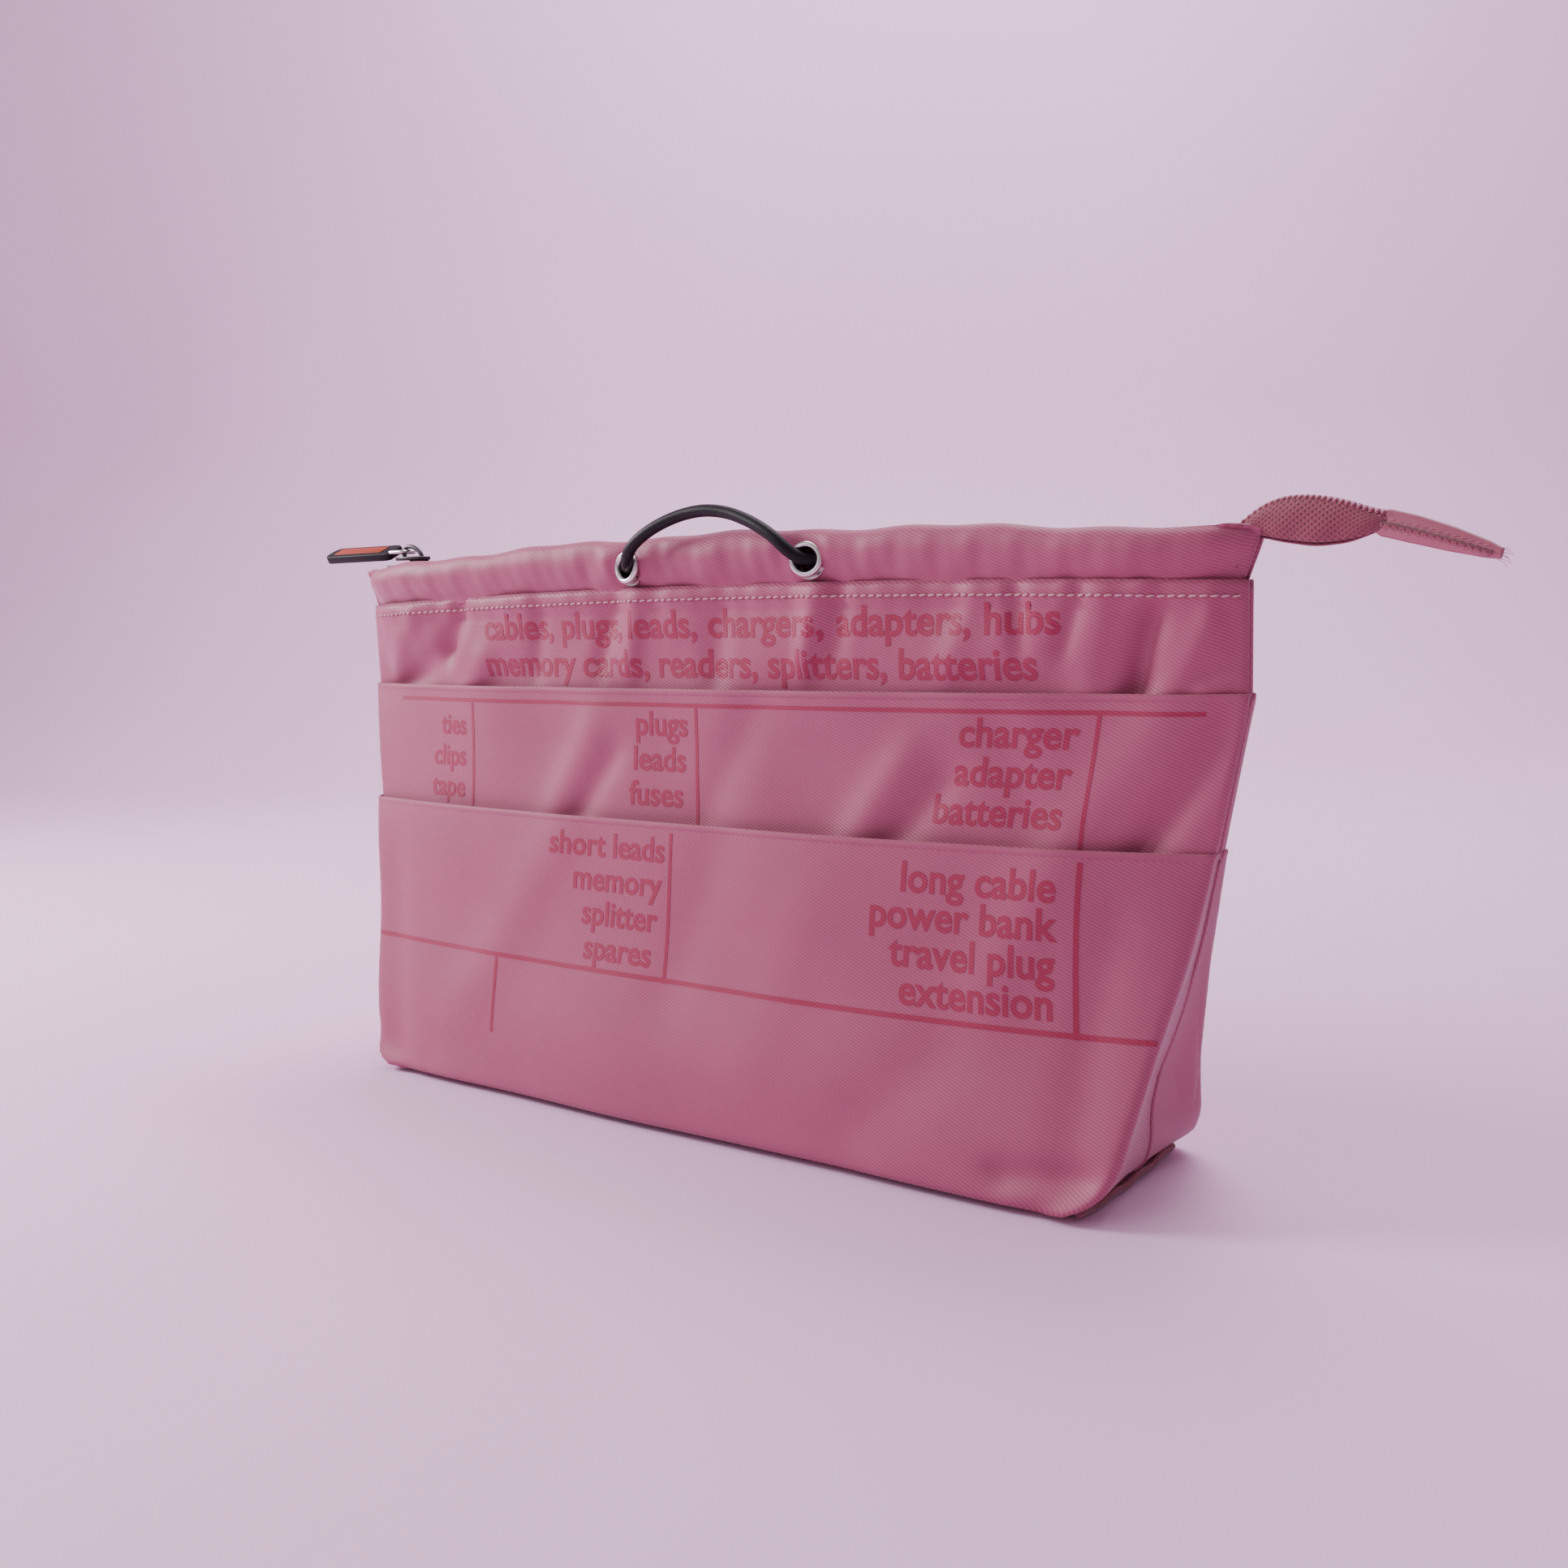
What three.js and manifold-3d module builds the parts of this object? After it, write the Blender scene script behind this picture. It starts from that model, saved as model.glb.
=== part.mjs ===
// Cable organizer pouch: a soft zipped bag on boxed corners, with two tiers of pockets on
// each long face, a drawcord in the top casing and a zip whose tail hangs past one end.
// Millimetres, +Z up, origin at the middle of the underside. +X is the zip tail's end,
// -Y is the front face.

import * as THREE from "three";
import { mergeVertices } from "three/addons/utils/BufferGeometryUtils.js";
import Module from "manifold-3d";

const wasm = await Module();
wasm.setup();

// ---- driving dimensions ----
const TOP_HALF_WIDTH = 154;
const FOLD_BASE_HALF_WIDTH = 129;
const BASE_HALF_WIDTH = 124;
const BASE_HALF_DEPTH = 34;
const FLAT_TOP_HEIGHT = 124;
const GUSSET_HEIGHT = 95;
const FOLD_MIN_DEPTH = 3.5;
const PANEL_TOP_DEPTH = 9.5;
const PANEL_BASE_DEPTH = 23;
const PANEL_LEAN_HEIGHT = 110;
const UPPER_POCKET_HEIGHT = 125;
const LOWER_POCKET_HEIGHT = 87;
const POCKET_STANDOFF = 5.8;
const PANEL_THICKNESS = 1.0;
const POCKET_THICKNESS = 0.8;
const BASE_PANEL_HALF_DEPTH = 33;
const BASE_THICKNESS = 1.2;
const BOARD_HALF_LENGTH = 117;
const BOARD_HALF_DEPTH = 21;
const BOARD_FOOT = 1.6;
const BOARD_TOP = 3.1;
const BASE_BINDING_X = 118.6;
const BASE_BINDING_WIDTH = 4;
const BASE_BINDING_HALF_LENGTH = 20;
const BASE_TUCK_HEIGHT = 8;
const GUSSET_TOP = 76;
const GUSSET_INSET = 1.2;
const GUSSET_THICKNESS = 1.0;
const GUSSET_CLEARANCE = 4.3;
const SIDE_BINDING_LEVELS = [98, 124, 148];
const SIDE_BINDING_OUTER = 5.5;
const SIDE_BINDING_INNER = 10;
const WALL_FOOT = 1.5;
const GAP = 0.3;

const SEAM_END_HEIGHT = 151;
const SEAM_ARCH = 3;
const RIM_END_HEIGHT = 163;
const RIM_ARCH = 6;
const CASING_OUTER_DEPTH = 12.2;
const CASING_INNER_DEPTH = 4.6;
const CASING_END_SHIFT = 2.0;

const ZIP_HALF_LENGTH = 152;
const TAPE_TOP = 163;
const TAPE_FOOT = 155.2;
const TEETH_HEIGHT = 2.0;
const SLIDER_X = -135;
const SLIDER_LENGTH = 11.5;
const PULLER_PIVOT = [-137, 0, 169.6];
const PULLER_TIP_X = -177.6;
const PULLER_TILT = THREE.MathUtils.degToRad(25);

const EYELET_X = [-27.8, 36.2];
const EYELET_Z = 160.7;
const EYELET_RADIUS = 4.8;
const EYELET_BORE = 3.0;
const HOLE_RADIUS = 4.0;
const CORD_DIAMETER = 3.5;

// ---- colours ----
const PINK = "#c4708f";
const PINK_DARK = "#a85872";
const NICKEL = "#d8d6d2";
const BLACK = "#17171a";
const ORANGE = "#b0401c";

const finish = {
  fabric: { color: PINK, roughness: 0.7, metalness: 0 },
  binding: { color: PINK_DARK, roughness: 0.8, metalness: 0 },
  tape: { color: PINK_DARK, roughness: 0.85, metalness: 0 },
  metal: { color: NICKEL, roughness: 0.25, metalness: 1 },
  black: { color: BLACK, roughness: 0.5, metalness: 0 },
  orange: { color: ORANGE, roughness: 0.6, metalness: 0 },
  board: { color: "#8a8a8a", roughness: 0.7, metalness: 0 },
  nylon: { color: PINK, roughness: 0.35, metalness: 0 },
};

const pouch = new THREE.Group();

function addMesh(name, geometry, look) {
  const mesh = new THREE.Mesh(geometry, new THREE.MeshStandardMaterial(finish[look]));
  mesh.name = name;
  pouch.add(mesh);
  return mesh;
}

// ---- shape of the bag ----
// Half width of the long faces at a height: straight taper, drawn in at the base corners.
function halfWidth(z) {
  const taper = FOLD_BASE_HALF_WIDTH
    + (TOP_HALF_WIDTH - FOLD_BASE_HALF_WIDTH) * Math.min(1, z / FLAT_TOP_HEIGHT);
  const tuck = Math.max(0, 1 - z / BASE_TUCK_HEIGHT) ** 2;
  return taper - tuck * (FOLD_BASE_HALF_WIDTH - BASE_HALF_WIDTH);
}

// Depth of the vertical corner folds from the middle plane.
function foldDepth(z) {
  const open = Math.max(0, 1 - z / GUSSET_HEIGHT) ** 1.6;
  return FOLD_MIN_DEPTH + (BASE_HALF_DEPTH - FOLD_MIN_DEPTH) * open;
}

function panelDepth(z) {
  const lean = Math.max(0, 1 - z / PANEL_LEAN_HEIGHT) ** 1.3;
  return PANEL_TOP_DEPTH + (PANEL_BASE_DEPTH - PANEL_TOP_DEPTH) * lean;
}

function arch(x) {
  return 1 - (x / TOP_HALF_WIDTH) ** 2;
}

function seamHeight(x) {
  return SEAM_END_HEIGHT + SEAM_ARCH * arch(x);
}

function rimHeight(x) {
  return RIM_END_HEIGHT + RIM_ARCH * arch(x);
}

function casingShift(x) {
  return -CASING_END_SHIFT * Math.abs(x / TOP_HALF_WIDTH) ** 3;
}

// ---- solid makers ----
// One closed body lofted through rings of equal length, capped at both ends.
// capTriangles lists the triangles that fill the ring.
function loft(rings, capTriangles) {
  const count = rings[0].length;
  const positions = rings.flat(2);
  const index = [];
  for (let r = 0; r + 1 < rings.length; r += 1) {
    for (let i = 0; i < count; i += 1) {
      const a = r * count + i;
      const b = r * count + ((i + 1) % count);
      index.push(a, b, a + count, b, b + count, a + count);
    }
  }
  const last = (rings.length - 1) * count;
  for (const [a, b, c] of capTriangles) {
    index.push(a, c, b);
    index.push(last + a, last + b, last + c);
  }
  const geometry = new THREE.BufferGeometry();
  geometry.setAttribute("position", new THREE.Float32BufferAttribute(positions, 3));
  geometry.setIndex(index);
  return facingOut(geometry);
}

// Turns every triangle over where the body's volume comes out negative.
function facingOut(geometry) {
  const p = geometry.attributes.position;
  const index = geometry.index.array;
  const a = new THREE.Vector3();
  const b = new THREE.Vector3();
  const c = new THREE.Vector3();
  let volume = 0;
  for (let i = 0; i < index.length; i += 3) {
    a.fromBufferAttribute(p, index[i]);
    b.fromBufferAttribute(p, index[i + 1]);
    c.fromBufferAttribute(p, index[i + 2]);
    volume += a.dot(b.cross(c));
  }
  if (volume < 0) {
    for (let i = 0; i < index.length; i += 3) {
      [index[i + 1], index[i + 2]] = [index[i + 2], index[i + 1]];
    }
  }
  geometry.computeVertexNormals();
  return geometry;
}

function ringTriangles(points) {
  const contour = points.map(([x, y]) => new THREE.Vector2(x, y));
  return THREE.ShapeUtils.triangulateShape(contour, []);
}

function bar(x0, x1, y0, y1, z0, z1) {
  const geometry = new THREE.BoxGeometry(x1 - x0, y1 - y0, z1 - z0);
  return geometry.translate((x0 + x1) / 2, (y0 + y1) / 2, (z0 + z1) / 2);
}

const STATIONS = [-1, -0.97, -0.9, -0.75, -0.5, 0, 0.5, 0.75, 0.9, 0.97, 1];

// A wall of one long face. side is -1 for the front and 1 for the back; layer is how many
// pocket layers lie under it; top(x) gives its upper edge.
function wall(side, layer, thickness, top, levels) {
  const rings = STATIONS.map((s) => {
    const outer = [];
    const inner = [];
    for (let i = 0; i <= levels; i += 1) {
      const t = i / levels;
      const z = WALL_FOOT + t * (top(s * TOP_HALF_WIDTH) - WALL_FOOT);
      const endDepth = foldDepth(z) - 1.9 + layer * 1.3;
      const midDepth = panelDepth(z) + layer * POCKET_STANDOFF;
      const depth = endDepth + (midDepth - endDepth) * (1 - Math.abs(s) ** 3);
      const x = s * halfWidth(z);
      outer.push([x, side * depth, z]);
      inner.unshift([x, side * (depth - thickness), z]);
    }
    return [...outer, ...inner];
  });
  const cap = [];
  const count = rings[0].length;
  for (let i = 0; i < levels; i += 1) {
    cap.push([i, i + 1, count - 1 - i], [i + 1, count - 2 - i, count - 1 - i]);
  }
  return loft(rings, cap);
}

// Casing: a folded strip of fabric over the drawcord, open at its lower edge.
function casing(side) {
  const wallThickness = 1;
  const stations = 21;
  const rings = [];
  let flat = null;
  for (let i = 0; i < stations; i += 1) {
    const x = -TOP_HALF_WIDTH + (2 * TOP_HALF_WIDTH * i) / (stations - 1);
    const out = CASING_OUTER_DEPTH + casingShift(x);
    const inn = CASING_INNER_DEPTH + casingShift(x);
    const foot = seamHeight(x);
    const rim = rimHeight(x);
    const corner = 2;
    const w = wallThickness;
    const section = [
      [out, foot], [out, rim - corner], [out - corner, rim], [inn + corner, rim],
      [inn, rim - corner], [inn, foot], [inn + w, foot], [inn + w, rim - corner - w / 2],
      [inn + corner + w / 2, rim - w], [out - corner - w / 2, rim - w],
      [out - w, rim - corner - w / 2], [out - w, foot],
    ];
    flat = flat ?? section;
    rings.push(section.map(([d, z]) => [x, side * d, z]));
  }
  return loft(rings, ringTriangles(flat));
}

// ---- joins and cuts ----
function toManifold(geometry) {
  const plain = geometry.clone();
  plain.deleteAttribute("normal");
  plain.deleteAttribute("uv");
  const merged = mergeVertices(plain, 1e-5);
  return new wasm.Manifold(new wasm.Mesh({
    numProp: 3,
    vertProperties: Float32Array.from(merged.attributes.position.array),
    triVerts: Uint32Array.from(merged.index.array),
  }));
}

function fromManifold(solid) {
  const mesh = solid.getMesh();
  const geometry = new THREE.BufferGeometry();
  geometry.setAttribute("position", new THREE.BufferAttribute(mesh.vertProperties, 3));
  geometry.setIndex(new THREE.BufferAttribute(mesh.triVerts, 1));
  geometry.computeVertexNormals();
  return geometry;
}

// ---- base ----
addMesh("base_panel", bar(-BASE_HALF_WIDTH, BASE_HALF_WIDTH,
  -BASE_PANEL_HALF_DEPTH, BASE_PANEL_HALF_DEPTH, 0, BASE_THICKNESS), "fabric");
addMesh("base_board", bar(-BOARD_HALF_LENGTH, BOARD_HALF_LENGTH,
  -BOARD_HALF_DEPTH, BOARD_HALF_DEPTH, BOARD_FOOT, BOARD_TOP), "board");

// ---- long faces: panel and two pocket tiers on each ----
for (const [label, side] of [["front", -1], ["back", 1]]) {
  addMesh(`${label}_panel`, wall(side, 0, PANEL_THICKNESS, (x) => seamHeight(x) - GAP, 8), "fabric");
  addMesh(`${label}_upper_pocket`, wall(side, 1, POCKET_THICKNESS, () => UPPER_POCKET_HEIGHT, 7), "fabric");
  addMesh(`${label}_lower_pocket`, wall(side, 2, POCKET_THICKNESS, () => LOWER_POCKET_HEIGHT, 6), "fabric");
}

// ---- ends: gusset below, seam binding above, binding across the boxed corner ----
function gusset(end) {
  const levels = 7;
  const rings = [];
  for (let i = 0; i <= levels; i += 1) {
    const z = WALL_FOOT + ((GUSSET_TOP - WALL_FOOT) * i) / levels;
    const half = foldDepth(z) - GUSSET_CLEARANCE;
    const x0 = end * (halfWidth(z) - GUSSET_INSET - GUSSET_THICKNESS);
    const x1 = end * (halfWidth(z) - GUSSET_INSET);
    rings.push([[x0, -half, z], [x1, -half, z], [x1, half, z], [x0, half, z]]);
  }
  return loft(rings, [[0, 1, 2], [0, 2, 3]]);
}

function sideBinding(end) {
  const rings = SIDE_BINDING_LEVELS.map((z) => {
    const x0 = end * (halfWidth(z) - SIDE_BINDING_INNER);
    const x1 = end * (halfWidth(z) - SIDE_BINDING_OUTER);
    return [[x0, -0.5, z], [x1, -0.5, z], [x1, 0.5, z], [x0, 0.5, z]];
  });
  return loft(rings, [[0, 1, 2], [0, 2, 3]]);
}

for (const [label, end] of [["left", -1], ["right", 1]]) {
  addMesh(`gusset_${label}`, gusset(end), "fabric");
  addMesh(`side_binding_${label}`, sideBinding(end), "binding");
  const near = Math.min(end * BASE_BINDING_X, end * (BASE_BINDING_X + BASE_BINDING_WIDTH));
  addMesh(`base_binding_${label}`, bar(near, near + BASE_BINDING_WIDTH,
    -BASE_BINDING_HALF_LENGTH, BASE_BINDING_HALF_LENGTH, BOARD_FOOT, BOARD_TOP), "binding");
}

// ---- casings, eyelets and drawcord ----
function eyeletHole(x) {
  const hole = new THREE.CylinderGeometry(HOLE_RADIUS, HOLE_RADIUS, 6, 24);
  return hole.translate(x, -CASING_OUTER_DEPTH, EYELET_Z);
}

let frontCasing = toManifold(casing(-1));
for (const x of EYELET_X) {
  frontCasing = frontCasing.subtract(toManifold(eyeletHole(x)));
}
addMesh("front_casing", fromManifold(frontCasing), "fabric");
addMesh("back_casing", casing(1), "fabric");

// Rolled eyelet: a rounded flange in front of the casing and a barrel through it.
function eyelet() {
  const flangeBack = 0.3;
  const profile = [
    [EYELET_BORE, -0.9], [EYELET_BORE + 0.4, -0.9], [EYELET_BORE + 0.4, flangeBack],
    [EYELET_RADIUS, flangeBack], [EYELET_RADIUS - 0.1, 0.8], [EYELET_RADIUS - 0.8, 1.25],
    [EYELET_BORE + 0.7, 1.25], [EYELET_BORE, 0.7], [EYELET_BORE, -0.9],
  ];
  return new THREE.LatheGeometry(profile.map(([r, y]) => new THREE.Vector2(r, y)), 28);
}

function washer() {
  const bore = HOLE_RADIUS + 0.4;
  const profile = [[bore, 0], [EYELET_RADIUS + 0.6, 0], [EYELET_RADIUS + 0.6, 0.3], [bore, 0.3], [bore, 0]];
  return new THREE.LatheGeometry(profile.map(([r, y]) => new THREE.Vector2(r, y)), 28);
}

EYELET_X.forEach((x, i) => {
  const label = i === 0 ? "left" : "right";
  const ring = addMesh(`eyelet_${label}`, eyelet(), "metal");
  ring.rotation.x = Math.PI;
  ring.position.set(x, -CASING_OUTER_DEPTH, EYELET_Z);
  const backing = addMesh(`eyelet_washer_${label}`, washer(), "metal");
  backing.position.set(x, -(CASING_OUTER_DEPTH - 1.1), EYELET_Z);
});

// Drawcord: sewn at both ends of the front casing, out through the eyelets in one loop.
const CORD_ROUTE = [
  [-144, -7.2, 157.4], [-118, -7.6, 159.2], [-88, -8.0, 160.6], [-62, -8.2, 160.9],
  [-46, -8.2, 160.8], [-38, -8.2, 160.7], [-34.3, -8.2, 160.7], [-31.9, -8.6, 160.7],
  [-29.8, -9.85, 160.7], [-28.5, -11.2, 160.7], [-27.7, -12.4, 160.75], [-26.8, -13.7, 161.1],
  [-25.4, -15.4, 162.2], [-23.6, -16.8, 164.2], [-21, -17.4, 166.8], [-16.5, -17.2, 169.8],
  [-10.5, -16.4, 172.6], [-3.5, -15.6, 174.6], [4.2, -15.4, 175.3], [12, -15.6, 174.3],
  [19, -16.4, 172.1], [25, -17.2, 169.4], [29.4, -17.4, 166.6], [32, -16.8, 164.1],
  [33.8, -15.4, 162.2], [35.2, -13.7, 161.1], [36.1, -12.4, 160.75], [36.9, -11.2, 160.7],
  [38.2, -9.85, 160.7], [40.3, -8.6, 160.7], [42.7, -8.2, 160.7], [46.4, -8.2, 160.7], [54, -8.2, 160.8],
  [70, -8.2, 160.8], [95, -8.0, 160.2], [120, -7.6, 159.0], [144, -7.2, 157.4],
];

function tube(route, diameter, steps, sides) {
  const curve = new THREE.CatmullRomCurve3(route.map((p) => new THREE.Vector3(...p)), false, "centripetal");
  const section = new THREE.Shape();
  section.absarc(0, 0, diameter / 2, 0, 2 * Math.PI, false);
  const ring = section.getSpacedPoints(sides);
  ring.pop();
  return new THREE.ExtrudeGeometry(new THREE.Shape(ring), { steps, extrudePath: curve, curveSegments: 1 });
}

addMesh("drawcord", tube(CORD_ROUTE, CORD_DIAMETER, 80, 8), "black");
addMesh("cord_bartack_left", bar(-150, -144.6, -9, -6.2, 155.6, 159.2), "binding");
addMesh("cord_bartack_right", bar(144.6, 150, -9, -6.2, 155.6, 159.2), "binding");

// ---- zip: two tapes with their teeth, end stops, slider and puller ----
function zipTape(side) {
  const rings = [-1, 1].map((end) => {
    const x = end * ZIP_HALF_LENGTH;
    return [
      [x, side * 1.3, TAPE_FOOT], [x, side * 1.9, TAPE_FOOT],
      [x, side * 1.1, TAPE_TOP], [x, side * 0.5, TAPE_TOP],
    ];
  });
  return loft(rings, [[0, 1, 2], [0, 2, 3]]);
}

for (const [label, side] of [["front", -1], ["back", 1]]) {
  addMesh(`${label}_zip_tape`, zipTape(side), "tape");
  const low = Math.min(side * 0.15, side * 1.9);
  const teethFoot = TAPE_TOP + GAP;
  addMesh(`${label}_zip_teeth`, bar(-143, ZIP_HALF_LENGTH, low, low + 1.75,
    teethFoot, teethFoot + TEETH_HEIGHT), "nylon");
  addMesh(`${label}_zip_stop`, bar(-146.5, -143.5, low, low + 1.75,
    teethFoot, teethFoot + TEETH_HEIGHT), "metal");
}

function sliderBody() {
  const half = SLIDER_LENGTH / 2;
  const plate = toManifold(bar(SLIDER_X - half, SLIDER_X + half, -4.1, 4.1, 166.9, 167.9));
  const flange = toManifold(bar(SLIDER_X - half, SLIDER_X + half, 2.5, 3.3, 164.4, 167.2));
  const bridge = toManifold(bar(SLIDER_X - 4, SLIDER_X + 4, -1, 1, 167.7, 171.2));
  const tunnel = new THREE.CylinderGeometry(1.25, 1.25, 8, 20);
  tunnel.translate(PULLER_PIVOT[0], 0, PULLER_PIVOT[2]);
  return fromManifold(plate.add(flange).add(bridge).subtract(toManifold(tunnel)));
}

addMesh("slider", sliderBody(), "metal");

const puller = new THREE.Group();
puller.position.set(...PULLER_PIVOT);
pouch.add(puller);
const reach = PULLER_PIVOT[0] - PULLER_TIP_X;

// Link: a flat wire frame whose cross bar runs through the slider's bridge.
function pullerLink() {
  const crossBar = new THREE.CylinderGeometry(0.75, 0.75, 6.4, 16);
  const left = bar(-7.6, 0.6, -3.6, -2.2, -0.75, 0.75);
  const right = bar(-7.6, 0.6, 2.2, 3.6, -0.75, 0.75);
  const end = bar(-7.6, -6.2, -3.6, 3.6, -0.75, 0.75);
  return fromManifold([left, right, end].map(toManifold)
    .reduce((solid, piece) => solid.add(piece), toManifold(crossBar)));
}

const link = addMesh("puller_link", pullerLink(), "metal");
puller.add(link);

// Grip: a moulded tab tilted towards the front, with a coloured insert in its upper face.
const grip = new THREE.Group();
grip.rotation.x = PULLER_TILT;
puller.add(grip);

function gripBody() {
  const outline = new THREE.Shape();
  const halfWide = 4;
  const x0 = -reach;
  const x1 = -7.9;
  const r = 2.4;
  outline.moveTo(x0 + r, -halfWide);
  outline.lineTo(x1, -halfWide + 0.8);
  outline.lineTo(x1, halfWide - 0.8);
  outline.lineTo(x0 + r, halfWide);
  outline.absarc(x0 + r, halfWide - r, r, Math.PI / 2, Math.PI, false);
  outline.absarc(x0 + r, -halfWide + r, r, Math.PI, 1.5 * Math.PI, false);
  const body = new THREE.ExtrudeGeometry(outline, { depth: 2.6, bevelEnabled: false, curveSegments: 4 });
  body.translate(0, 0, -1.3);
  const window = toManifold(bar(x0 + 4, -11.4, -2.6, 2.6, 0.5, 2));
  return fromManifold(toManifold(body).subtract(window));
}

const gripMesh = addMesh("puller_grip", gripBody(), "black");
grip.add(gripMesh);
const insert = addMesh("puller_insert", bar(-reach + 4.3, -11.7, -2.3, 2.3, 0.8, 1.6), "orange");
grip.add(insert);

// ---- zip tail: the tape folded along its coil, past the right end, with its end tab ----
const TAIL_TOP = [[156.6, 167.6], [163, 168.8], [172.5, 167.6], [182.6, 164.6]];
const TAIL_FOOT = [[182.6, 162.2], [175.3, 160.0], [168, 159.8], [160, 161], [156.6, 163.0]];

function plate(outline, thickness) {
  const shape = new THREE.Shape(outline.map(([x, z]) => new THREE.Vector2(x, z)));
  const solid = new THREE.ExtrudeGeometry(shape, { depth: thickness, bevelEnabled: false });
  return solid.rotateX(Math.PI / 2).translate(0, thickness / 2, 0);
}

addMesh("zip_tail_tape", plate([...TAIL_TOP, ...TAIL_FOOT], 3.6), "tape");
const teethOutline = [
  ...TAIL_TOP.map(([x, z]) => [x, z + GAP]),
  ...[...TAIL_TOP].reverse().map(([x, z]) => [x, z + GAP + 1.7]),
];
addMesh("zip_tail_teeth", plate(teethOutline, 2.6), "nylon");

const TAB = [[184.4, 166.0], [198, 161.2], [206.3, 157.6], [207.4, 155.8], [204.8, 154.6],
  [198.2, 156.2], [184.4, 161.4]];
addMesh("end_tab", plate(TAB, 1.6), "nylon");
const core = plate([[185.5, 164.4], [203.6, 157.8], [203.2, 156.4], [185.2, 162.9]], 0.7);
addMesh("end_tab_core", core.translate(0, -(0.8 + 0.35 + GAP), 0), "tape");

export default pouch;
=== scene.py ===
"""Cable organizer pouch: the looks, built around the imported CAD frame.

Metres, +Z up, origin in the middle of the underside, -Y is the front face and +X the zip tail's end.
Shapes are worked out in millimetres and scaled once, in make_mesh().
"""
import math

import bmesh
import bpy
import numpy as np
from mathutils import Matrix, Vector


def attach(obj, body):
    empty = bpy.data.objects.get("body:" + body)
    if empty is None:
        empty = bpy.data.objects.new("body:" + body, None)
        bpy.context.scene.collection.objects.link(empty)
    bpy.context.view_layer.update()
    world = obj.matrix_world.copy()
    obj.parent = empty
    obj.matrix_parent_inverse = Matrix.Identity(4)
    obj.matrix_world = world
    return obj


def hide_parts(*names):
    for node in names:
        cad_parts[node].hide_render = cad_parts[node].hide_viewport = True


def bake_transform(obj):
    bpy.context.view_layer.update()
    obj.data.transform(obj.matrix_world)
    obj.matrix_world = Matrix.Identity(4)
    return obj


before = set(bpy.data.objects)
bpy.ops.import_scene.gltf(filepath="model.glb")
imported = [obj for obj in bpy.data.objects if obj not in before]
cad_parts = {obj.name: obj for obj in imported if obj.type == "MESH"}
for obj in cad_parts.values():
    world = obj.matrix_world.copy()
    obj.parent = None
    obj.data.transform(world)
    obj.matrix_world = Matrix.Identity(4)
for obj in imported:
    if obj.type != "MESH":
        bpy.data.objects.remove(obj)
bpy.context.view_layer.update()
MM = 0.001

# ---- the bag's driving shape, in millimetres ----
TOP_HALF_WIDTH = 154
FOLD_BASE_HALF_WIDTH = 129
BASE_HALF_WIDTH = 124
BASE_HALF_DEPTH = 34
FLAT_TOP_HEIGHT = 124
GUSSET_HEIGHT = 95
FOLD_MIN_DEPTH = 3.5
PANEL_TOP_DEPTH = 10.5
PANEL_BASE_DEPTH = 23
PANEL_LEAN_HEIGHT = 110
UPPER_HEM = 125
LOWER_HEM = 87
FABRIC = 0.55
SEAM_END, SEAM_ARCH = 151, 3
RIM_END, RIM_ARCH = 163, 6
CLOTH_HALF = 158
EYELET_X = (-27.8, 36.2)
EYELET_Z = 160.7
LEFT_CORNER_TUCK = 6
RIGHT_CORNER_TUCK = 16
EDGE_TUCK = 5
FRONT, BACK = -1, 1


def half_width(z):
    z = np.asarray(z, float)
    flare = TOP_HALF_WIDTH - FOLD_BASE_HALF_WIDTH
    taper = FOLD_BASE_HALF_WIDTH + flare * np.minimum(1, z / FLAT_TOP_HEIGHT)
    tuck = np.maximum(0, 1 - z / 8) ** 2
    return taper - tuck * (FOLD_BASE_HALF_WIDTH - BASE_HALF_WIDTH)


def fold_depth(z):
    opened = np.maximum(0, 1 - np.asarray(z, float) / GUSSET_HEIGHT) ** 1.6
    return FOLD_MIN_DEPTH + (BASE_HALF_DEPTH - FOLD_MIN_DEPTH) * opened


def full_fold_depth(z):
    """The left end stands fuller than the right: its fold comes in evenly all the way up."""
    evenly = np.maximum(0, 1 - np.asarray(z, float) / FLAT_TOP_HEIGHT)
    return np.maximum(fold_depth(z), FOLD_MIN_DEPTH + (BASE_HALF_DEPTH - 3.5 - FOLD_MIN_DEPTH) * evenly)


def panel_depth(z):
    lean = np.maximum(0, 1 - np.asarray(z, float) / PANEL_LEAN_HEIGHT) ** 1.3
    return PANEL_TOP_DEPTH + (PANEL_BASE_DEPTH - PANEL_TOP_DEPTH) * lean


def arch(x):
    return 1 - (np.clip(np.asarray(x, float) / TOP_HALF_WIDTH, -1, 1)) ** 2


def seam_height(x):
    return SEAM_END + SEAM_ARCH * arch(x)


def rim_height(x):
    return RIM_END + RIM_ARCH * arch(x)


def smoothstep(t):
    t = np.clip(t, 0, 1)
    return t * t * (3 - 2 * t)


# ---- camera, at the photograph's angle ----
CAMERA_YAW = math.radians(36.17)
CAMERA_PITCH = math.radians(6.78)
CAMERA_ROLL = math.radians(-1.62)
CAMERA_PLACE = (0.2808, -0.3601, 0.1507)


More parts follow.
